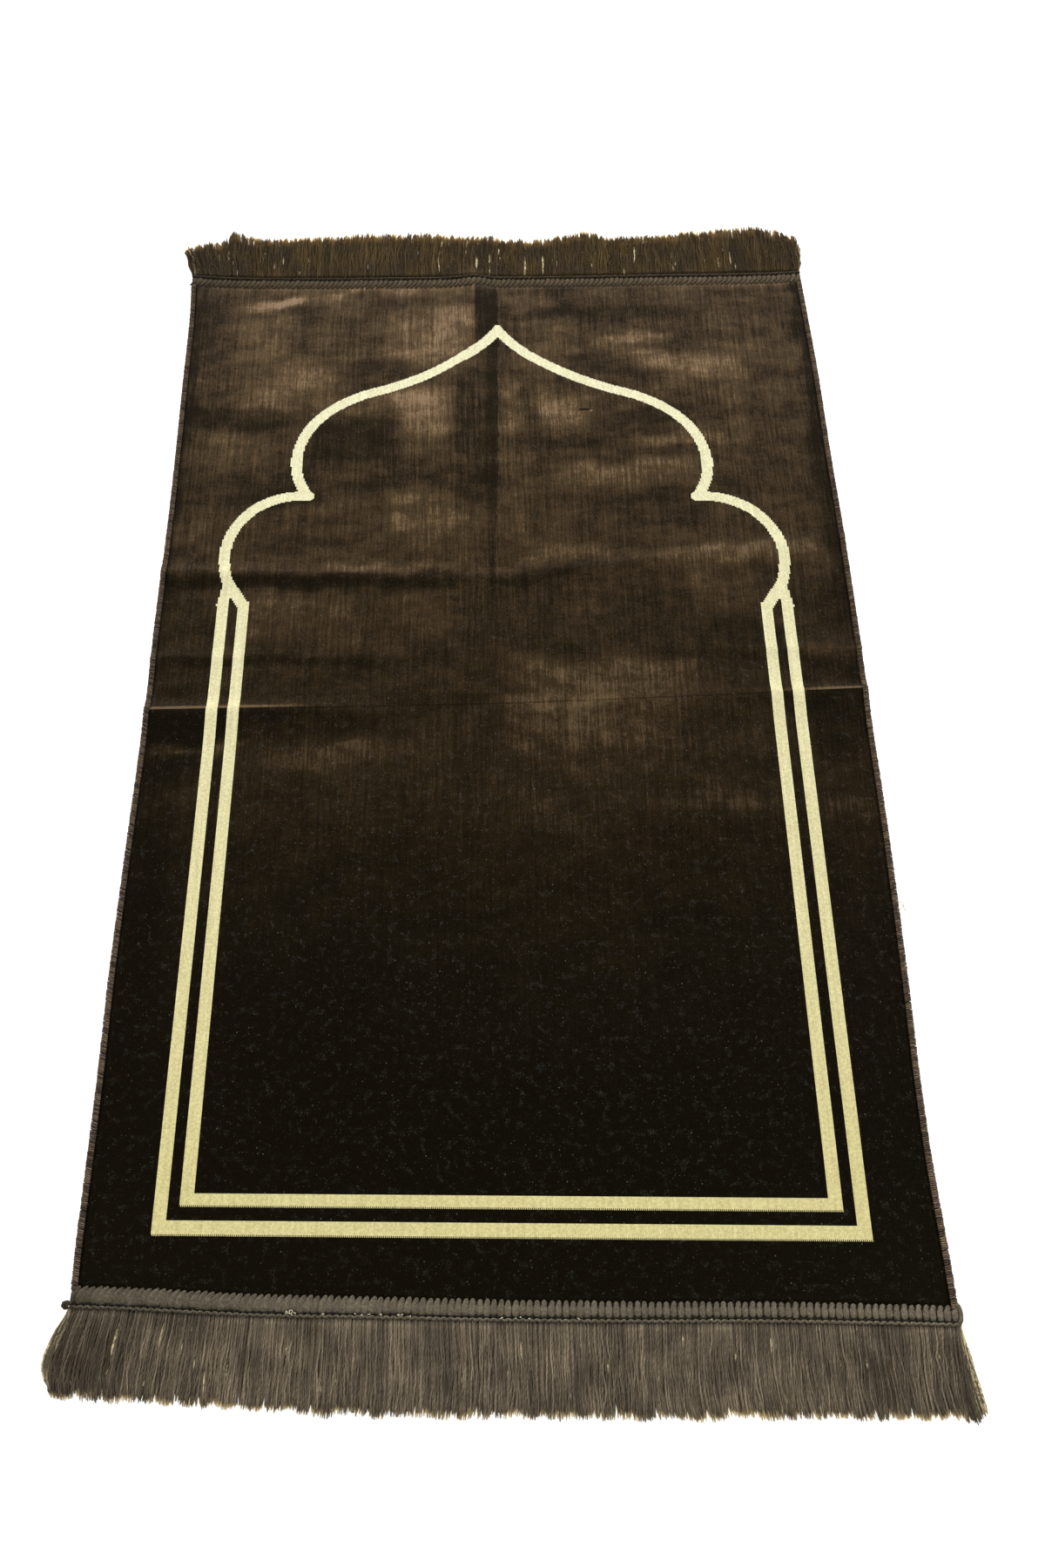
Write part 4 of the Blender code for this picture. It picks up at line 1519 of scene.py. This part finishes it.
def make_pile(pattern_group, knot_group):
    """Cut velvet pile: near black, with painted brown sheen where it leans and towards the arch's
    end, and cream stripes.
    """
    material, board, shader = new_material("velvet pile", 0.5, 0.16)
    shader.inputs["Specular Tint"].default_value = PILE_SHINE
    weave = board.add("UVMap", uv_map="weave").outputs[0]
    place = board.scaled(weave, PER_METRE)
    knots = board.group(knot_group, Place=place)
    tooth = board.times(board.calc("GREATER_THAN", knots["Ribs"], 0.0), KNOT_LENGTH)
    light = board.group(pattern_group, Place=knots["Knot"], Tooth=tooth)["Light"]

    x, y, _ = board.parts(place)
    brushed = board.join(board.times(x, 0.017), board.times(y, 0.033))
    patches = board.noise(brushed, 1.0, detail=4.0, roughness=0.6)
    streaky = board.join(board.times(x, 0.33), board.times(y, 0.012))
    streaks = board.noise(streaky, 1.0, detail=2.0, roughness=0.7)
    fine = board.join(board.times(x, 0.8), board.times(y, 0.08))
    hairs = board.noise(fine, 1.0, detail=1.0)
    tufted = board.vector("MULTIPLY", place, (0.85, 0.40, 0.0))
    tufts = board.noise(tufted, 1.0, detail=2.0, roughness=0.7)
    clumped = board.vector("MULTIPLY", place, (0.50, 0.28, 0.0))
    clumps = board.noise(clumped, 1.0, detail=3.0, roughness=0.7)
    marks = board.attribute("brush", "Fac")

    spot = board.scaled(board.add("TexCoord").outputs["Object"], PER_METRE)
    lean = board.times(marks, 0.54)
    lean = board.plus(lean, strip_tone(board, spot, board.span(hairs, 0.3, 0.7, -1.2, 1.2)))
    lean = board.plus(lean, crease_tone(board, spot))
    strokes = board.span(board.noise(brushed, 2.3, detail=3.0), 0.47, 0.53, -0.5, 0.5)
    lean = board.calc("MULTIPLY_ADD", strokes, 0.12, lean)
    lean = board.calc("MULTIPLY_ADD", board.span(patches, 0.25, 0.75, -0.5, 0.5), 0.50, lean)
    lean = board.calc("MULTIPLY_ADD", board.span(streaks, 0.3, 0.7, -0.5, 0.5), 0.42, lean)
    lean = board.calc("MULTIPLY_ADD", board.span(tufts, 0.3, 0.7, -0.5, 0.5), 0.18, lean)
    lean = board.calc("MULTIPLY_ADD", board.span(hairs, 0.3, 0.7, -0.5, 0.5), 0.24, lean)
    lean = board.calc("MULTIPLY_ADD", board.span(clumps, 0.3, 0.7, -0.5, 0.5), 0.20, lean)
    sheen_ramp = board.calc("POWER", board.span(y, SHEEN_RAMP_START, SHEEN_RAMP_STOP), 1.7)
    sheen_ramp = board.span(sheen_ramp, 0.0, 1.0, SHEEN_RAMP_FRONT, SHEEN_RAMP_BACK)
    # Painted sheen: where the pile leans and towards the arch's end its colour turns brown, then
    # paler.
    share = board.calc("POWER", board.span(lean, -0.55, 0.85), 1.8)
    deep = board.blend(board.span(y, -350.0, 150.0), PILE_DEEP_FRONT, PILE_DEEP)
    dark = board.blend(board.times(share, sheen_ramp), deep, PILE_SHEEN_BROWN)
    sheen = board.times(board.span(share, 0.5, 1.0, 0.0, 0.85), sheen_ramp)
    dark = board.blend(sheen, dark, PILE_SHEEN)
    specks = board.span(tufts, 0.52, 0.78, 0.0, 0.11)
    dark = board.blend(specks, dark, PILE_SPECK)

    # Painted sheen: the stripes turn paler towards the arch's end.
    cream = board.blend(board.span(y, -450.0, 350.0), STRIPE_FRONT, STRIPE_BACK_SHEEN)
    grain = board.span(knots["Chance"], 0.0, 1.0, 0.0, 0.45)
    grain = board.plus(grain, board.span(streaks, 0.3, 0.7, 0.0, 0.35))
    cream = board.blend(grain, cream, STRIPE_SHADE, "MULTIPLY")
    colour = board.blend(light, dark, cream)
    board.feed(shader.inputs["Base Color"], board.blend(lint_mask(board, place, y), colour, LINT))

    matt = board.span(lean, -0.7, 0.8, 0.62, 0.44)
    matt = board.calc("MAXIMUM", matt, board.times(light, 0.8))
    board.feed(shader.inputs["Roughness"], matt)
    tilt = board.span(lean, -0.6, 0.8, -0.24, 0.04)
    tilt = board.plus(tilt, board.span(sheen_ramp, 0.0, 0.5, -0.08, 0.0))
    tilt = board.plus(tilt, board.span(y, -500.0, -330.0, -0.12, 0.0))
    tilt = board.times(tilt, board.span(light, 0.0, 1.0, 1.0, 0.0))
    geometry = board.add("NewGeometry").outputs["Normal"]
    leaning = board.vector("ADD", geometry, board.join(0.0, tilt))
    leaning = board.vector("NORMALIZE", leaning)
    ribs = board.times(knots["Ribs"], 0.12)
    height = board.plus(ribs, board.times(hairs, 0.8))
    height = board.calc("MULTIPLY_ADD", knots["Chance"], 0.5, height)
    height = board.calc("MULTIPLY_ADD", clumps, 2.2, height)
    normal = board.bump(height, 0.00025, 0.7, leaning)
    board.feed(shader.inputs["Normal"], normal)
    return material


BACKING = (0.060, 0.043, 0.030, 1.0)
BACKING_LIGHT = (0.24, 0.22, 0.13, 1.0)
BACKING_THREAD = (0.16, 0.125, 0.085, 1.0)
BACKING_WORN = (0.02, 0.015, 0.01, 1.0)


def make_backing(pattern_group, knot_group):
    """The woven back, where the stripes show through dimly between the ground's threads."""
    material, board, shader = new_material("woven back", 0.85, 0.2)
    weave = board.add("UVMap", uv_map="weave").outputs[0]
    place = board.scaled(weave, PER_METRE)
    knots = board.group(knot_group, Place=place)
    light = board.group(pattern_group, Place=knots["Knot"], Tooth=0.0)["Light"]
    _, y, _ = board.parts(place)
    weft = board.calc("SINE", board.times(y, 2.0 * math.pi / KNOT_LENGTH))
    thread = board.times(board.span(weft, -1.0, 1.0), board.span(knots["Ribs"], -1.0, 1.0))
    ground = board.blend(light, BACKING, BACKING_LIGHT)
    colour = board.blend(board.times(thread, 0.7), ground, BACKING_THREAD)
    wear_and_glow = board.span(knots["Chance"], 0.0, 1.0, 0.0, 0.35)
    colour = board.blend(wear_and_glow, colour, BACKING_WORN)
    board.feed(shader.inputs["Base Color"], colour)
    board.feed(shader.inputs["Normal"], board.bump(thread, 0.0005))
    return material


YARN_SHADOW = (0.030, 0.023, 0.016, 1.0)
# The tip colour is a painted golden glow at the yarns' ends; the glint colour paints golden light in
# their gaps and at their very ends.
YARN_TIP_GLOW = (0.26, 0.15, 0.050, 1.0)
YARN_GLINT = (1.0, 0.84, 0.48, 1.0)
FRINGE_FRONT, FRINGE_BACK = (0.242, 0.194, 0.130, 1.0), (0.090, 0.057, 0.018, 1.0)
LOOP_FRONT, LOOP_BACK = (0.172, 0.143, 0.098, 1.0), (0.094, 0.069, 0.038, 1.0)
SERGING = (0.190, 0.133, 0.074, 1.0)
YARN_MOTTLE = (0.110, 0.076, 0.074, 1.0)
# The length of one full twist, in metres, and how fine the serging's mottled patches are.
FRINGE_TWIST, SERGING_TWIST = 0.0052, 0.005
SERGING_PATCHES = 160.0
# The deep and the pale tone of the heading's tape, the pale thread and the cloth's rim.
TAPE_TONES = ((0.010, 0.008, 0.006, 1.0), (0.035, 0.029, 0.022, 1.0))
PALE_TONES = ((0.42, 0.36, 0.24, 1.0), (0.80, 0.74, 0.55, 1.0))
RIM_TONES = ((0.012, 0.009, 0.007, 1.0), (0.040, 0.032, 0.026, 1.0))


def make_yarn(name, twist_group, front, back, tip, twist, mottle=YARN_SHADOW, patch_scale=30.0):
    """Twisted yarn in lots of different shade; where it has a tip colour, with painted shade at its
    roots, painted golden glow at its ends and painted golden glints in its gaps.
    """
    material, board, shader = new_material(name, 0.8, 0.12)
    turn = board.attribute("turn")
    lot = board.attribute("lot")
    plied = board.group(twist_group, Turn=turn, Lot=lot, Twist=twist)
    place = board.add("TexCoord").outputs["Object"]
    over_rug, along_rug, _ = board.parts(place)
    patches = board.noise(place, patch_scale, detail=3.0)
    fuzz = board.noise(place, 1400.0, detail=2.0)
    colour = board.blend(board.span(along_rug, -0.5, 0.5), front, back)
    corners = board.calc(
        "MULTIPLY",
        board.span(over_rug, -0.36, -0.22, 0.60, 1.0),
        board.span(over_rug, 0.25, 0.35, 1.0, 0.74),
    )
    colour = board.shade(colour, corners)
    colour = board.blend(board.span(patches, 0.38, 0.62, 0.5, 0.0), colour, mottle)
    shade = board.times(plied["Shade"], board.span(fuzz, 0.3, 0.7, 0.75, 1.25))
    colour = board.shade(colour, shade)
    _, share, glint = board.parts(lot)
    if tip:
        # Painted shade at the yarns' roots, just below the heading's cord.
        root_shade = board.span(share, 0.02, 0.07, 0.45, 1.0)
        colour = board.shade(colour, root_shade)
        # Painted golden glow at the yarns' tips, in patches, and paler still at their very ends.
        wear_and_glow = board.span(board.noise(place, 70.0), 0.42, 0.60, 0.1, 1.0)
        tip_start = board.span(along_rug, -0.5, 0.5, 0.92, 0.76)
        tip_glow = board.times(wear_and_glow, board.span(share, tip_start, 0.98))
        colour = board.blend(tip_glow, colour, tip)
        rim = board.times(wear_and_glow, board.span(share, 0.93, 1.0, 0.0, 1.0))
        colour = board.blend(rim, colour, YARN_GLINT)
        # Painted golden glints where the gaps open, in beads along the yarn.
        beads = board.span(board.noise(place, 380.0, detail=1.0), 0.38, 0.50, 0.25, 1.0)
        golden = board.times(board.span(glint, 0.1, 0.9), beads)
        colour = board.blend(golden, colour, YARN_GLINT)
    board.feed(shader.inputs["Base Color"], colour)
    height = board.calc("MULTIPLY_ADD", fuzz, 0.5, plied["Height"])
    board.feed(shader.inputs["Normal"], board.bump(height, 0.0004, 0.8))
    return material


def make_loop_yarn(name, front, back):
    """Loops of many fine threads that run side by side along each loop."""
    material, board, shader = new_material(name, 0.8, 0.12)
    cosine, sine, along = board.parts(board.attribute("turn"))
    shade, _, _ = board.parts(board.attribute("lot"))
    place = board.add("TexCoord").outputs["Object"]
    over_rug, along_rug, _ = board.parts(place)
    slant = board.calc("MULTIPLY_ADD", along, 260.0, board.times(cosine, 3.4))
    laid = board.join(slant, board.times(sine, 3.4), board.times(shade, 40.0))
    threads = board.noise(laid, 2.4, detail=2.0)
    fuzz = board.noise(place, 1500.0, detail=2.0)
    colour = board.blend(board.span(along_rug, -0.5, 0.5), front, back)
    mottle = board.noise(place, 480.0, detail=3.0, roughness=0.7)
    tone = board.times(
        board.span(threads, 0.3, 0.7, 0.72, 1.18),
        board.span(fuzz, 0.3, 0.7, 0.8, 1.2),
        board.span(shade, 0.0, 1.0, 0.88, 1.14),
        board.span(mottle, 0.32, 0.68, 0.62, 1.38),
        board.span(over_rug, -0.34, -0.04, 0.66, 1.0),
        board.span(over_rug, 0.1, 0.3, 1.0, 1.12),
        board.span(along, 0.0, 0.006, 0.74, 1.0),
    )
    board.feed(shader.inputs["Base Color"], board.shade(colour, tone))
    height = board.calc("MULTIPLY_ADD", fuzz, 0.6, threads)
    board.feed(shader.inputs["Normal"], board.bump(height, 0.0006, 0.9))
    return material


def make_plain_yarn(name, deep, pale):
    """Densely laid yarn without a twist of its own, such as the heading's tape."""
    material, board, shader = new_material(name, 0.85, 0.15)
    place = board.add("TexCoord").outputs["Object"]
    stretched = board.vector("MULTIPLY", place, (1400.0, 200.0, 600.0))
    threads = board.noise(stretched, 1.0, detail=3.0)
    board.feed(shader.inputs["Base Color"], board.blend(board.span(threads, 0.3, 0.7), deep, pale))
    board.feed(shader.inputs["Normal"], board.bump(threads, 0.0005))
    return material


# ---- Floor, light and camera ----

FLOOR_HALF = 6.0
FLOOR_DROP = 0.4


def build_floor():
    """A plain pale floor just below the rug."""
    mesh = bmesh.new()
    bmesh.ops.create_grid(mesh, x_segments=1, y_segments=1, size=FLOOR_HALF)
    bmesh.ops.translate(mesh, verts=mesh.verts[:], vec=metres(0.0, 0.0, -FLOOR_DROP))
    data = bpy.data.meshes.new("floor")
    mesh.to_mesh(data)
    mesh.free()
    material, _, shader = new_material("floor white", 0.9, 0.1)
    shader.inputs["Base Color"].default_value = (0.80, 0.80, 0.80, 1.0)
    shader.inputs["Emission Color"].default_value = (1.0, 1.0, 1.0, 1.0)
    shader.inputs["Emission Strength"].default_value = 0.7
    data.materials.append(material)
    floor = bpy.data.objects.new("floor", data)
    bpy.context.scene.collection.objects.link(floor)


# Soft lights: where each stands, what it points at, its size in metres, its power and its
# colour.
Lamp = namedtuple("Lamp", "name place target size power colour")
LAMPS = (
    Lamp("window", (-0.35, 2.1, 1.95), (0.0, 0.35, 0.0), 1.5, 18.0, (1.0, 0.98, 0.96)),
)
# The room's own light: even white to the camera, and for the rest dim overhead, brightest
# high beyond the arch's end, and soft all round the room near the floor.
SKY_WHITE = 1.0
SKY_DIM = 0.07
GLOW, GLOW_REACH, GLOW_POWER = 3.4, 0.74, 2.7
GLOW_LOW, GLOW_HIGH, GLOW_LEFT = 0.20, 0.55, 0.30
ROUND, ROUND_LOW, ROUND_HIGH = 1.5, 0.35, 0.62


def build_lamps():
    """Soft light from high beyond the arch's end, and the light of a pale room."""
    for lamp in LAMPS:
        data = bpy.data.lights.new(lamp.name, "AREA")
        data.shape = "SQUARE"
        data.size = lamp.size
        data.energy = lamp.power
        data.color = lamp.colour
        light = bpy.data.objects.new(lamp.name, data)
        light.location = lamp.place
        aim = Vector(lamp.target) - Vector(lamp.place)
        light.rotation_euler = aim.to_track_quat("-Z", "Y").to_euler()
        bpy.context.scene.collection.objects.link(light)
    world = bpy.data.worlds.new("white room")
    world.use_nodes = True
    board = Board(world.node_tree)
    _, towards_arch, upwards = board.parts(board.add("TexCoord").outputs["Generated"])
    glow = board.calc("POWER", board.span(towards_arch, 0.0, GLOW_REACH), GLOW_POWER)
    glow = board.times(glow, board.span(upwards, GLOW_LOW, GLOW_HIGH, GLOW_LEFT, 1.0))
    around = board.span(upwards, ROUND_LOW, ROUND_HIGH, ROUND, SKY_DIM, "SMOOTHSTEP")
    sky = board.calc("MULTIPLY_ADD", glow, GLOW, around)
    seen = board.add("LightPath").outputs["Is Camera Ray"]
    strength = board.span(seen, 0.0, 1.0, sky, SKY_WHITE)
    background = world.node_tree.nodes["Background"]
    background.inputs["Color"].default_value = (1.0, 1.0, 1.0, 1.0)
    board.feed(background.inputs["Strength"], strength)
    bpy.context.scene.world = world
    bpy.context.scene.view_settings.view_transform = "Standard"


# The camera stands over the front end: its place, and in degrees how far it looks down,
# how far it is turned to the left and how far it is rolled.
CAMERA_PLACE = (-31.3, -533.1, 1002.6)
CAMERA_DOWN = math.degrees(1.15858)
CAMERA_TURN = math.degrees(0.03277)
CAMERA_ROLL = math.degrees(-0.02699)
LENS = 26.66
SENSOR = 36.0
# The picture's middle lies this share of its height to the right of the lens's axis.
CAMERA_SHIFT = 75.0 / 1800.0


def build_camera():
    """A camera at the height and angle of someone who stands at the rug's front end."""
    data = bpy.data.cameras.new("camera")
    data.lens = LENS
    data.sensor_width = SENSOR
    data.shift_x = CAMERA_SHIFT
    data.clip_start = 0.01
    camera = bpy.data.objects.new("camera", data)
    down, turn, roll = (math.radians(a) for a in (CAMERA_DOWN, CAMERA_TURN, CAMERA_ROLL))
    spin = Matrix.Rotation(turn, 4, "Z")
    ahead = spin @ Vector((0.0, math.cos(down), -math.sin(down)))
    right = spin @ Vector((1.0, 0.0, 0.0))
    up = right.cross(ahead)
    right, up = (
        right * math.cos(roll) + up * math.sin(roll),
        up * math.cos(roll) - right * math.sin(roll),
    )
    turned = Matrix((right, up, -ahead)).transposed().to_4x4()
    camera.matrix_world = Matrix.Translation(metres(*CAMERA_PLACE)) @ turned
    bpy.context.scene.collection.objects.link(camera)
    bpy.context.scene.camera = camera


# ---- The rug ----

build_camera()
build_lamps()
build_floor()

pattern_group = make_pattern_group()
knot_group = make_knot_group()
twist_group = make_twist_group()
pile = make_pile(pattern_group, knot_group)
backing = make_backing(pattern_group, knot_group)
fringe_yarn_finish = make_yarn(
    "fringe yarn", twist_group, FRINGE_FRONT, FRINGE_BACK, YARN_TIP_GLOW, FRINGE_TWIST
)
loop_yarn_finish = make_loop_yarn("heading yarn", LOOP_FRONT, LOOP_BACK)
serging_finish = make_yarn(
    "serging yarn", twist_group, SERGING, SERGING, None, SERGING_TWIST, YARN_MOTTLE, SERGING_PATCHES
)
tape_finish = make_plain_yarn("heading tape", *TAPE_TONES)
pale_finish = make_plain_yarn("pale thread", *PALE_TONES)
rim_finish = make_plain_yarn("cloth rim", *RIM_TONES)

cloth = build_cloth(pile, backing)
trim = []
for end in ENDS:
    trim += build_heading(end, loop_yarn_finish, tape_finish)
    trim += build_fringe(end, fringe_yarn_finish)
for side, inwards in (("left", 1.0), ("right", -1.0)):
    trim.append(build_rim(side, inwards, rim_finish))
    trim.append(build_serging(side, inwards, serging_finish))
trim += build_threads({"knot": serging_finish, "pale": pale_finish, "loop": loop_yarn_finish})
trim.append(build_pale_stitches(pale_finish))
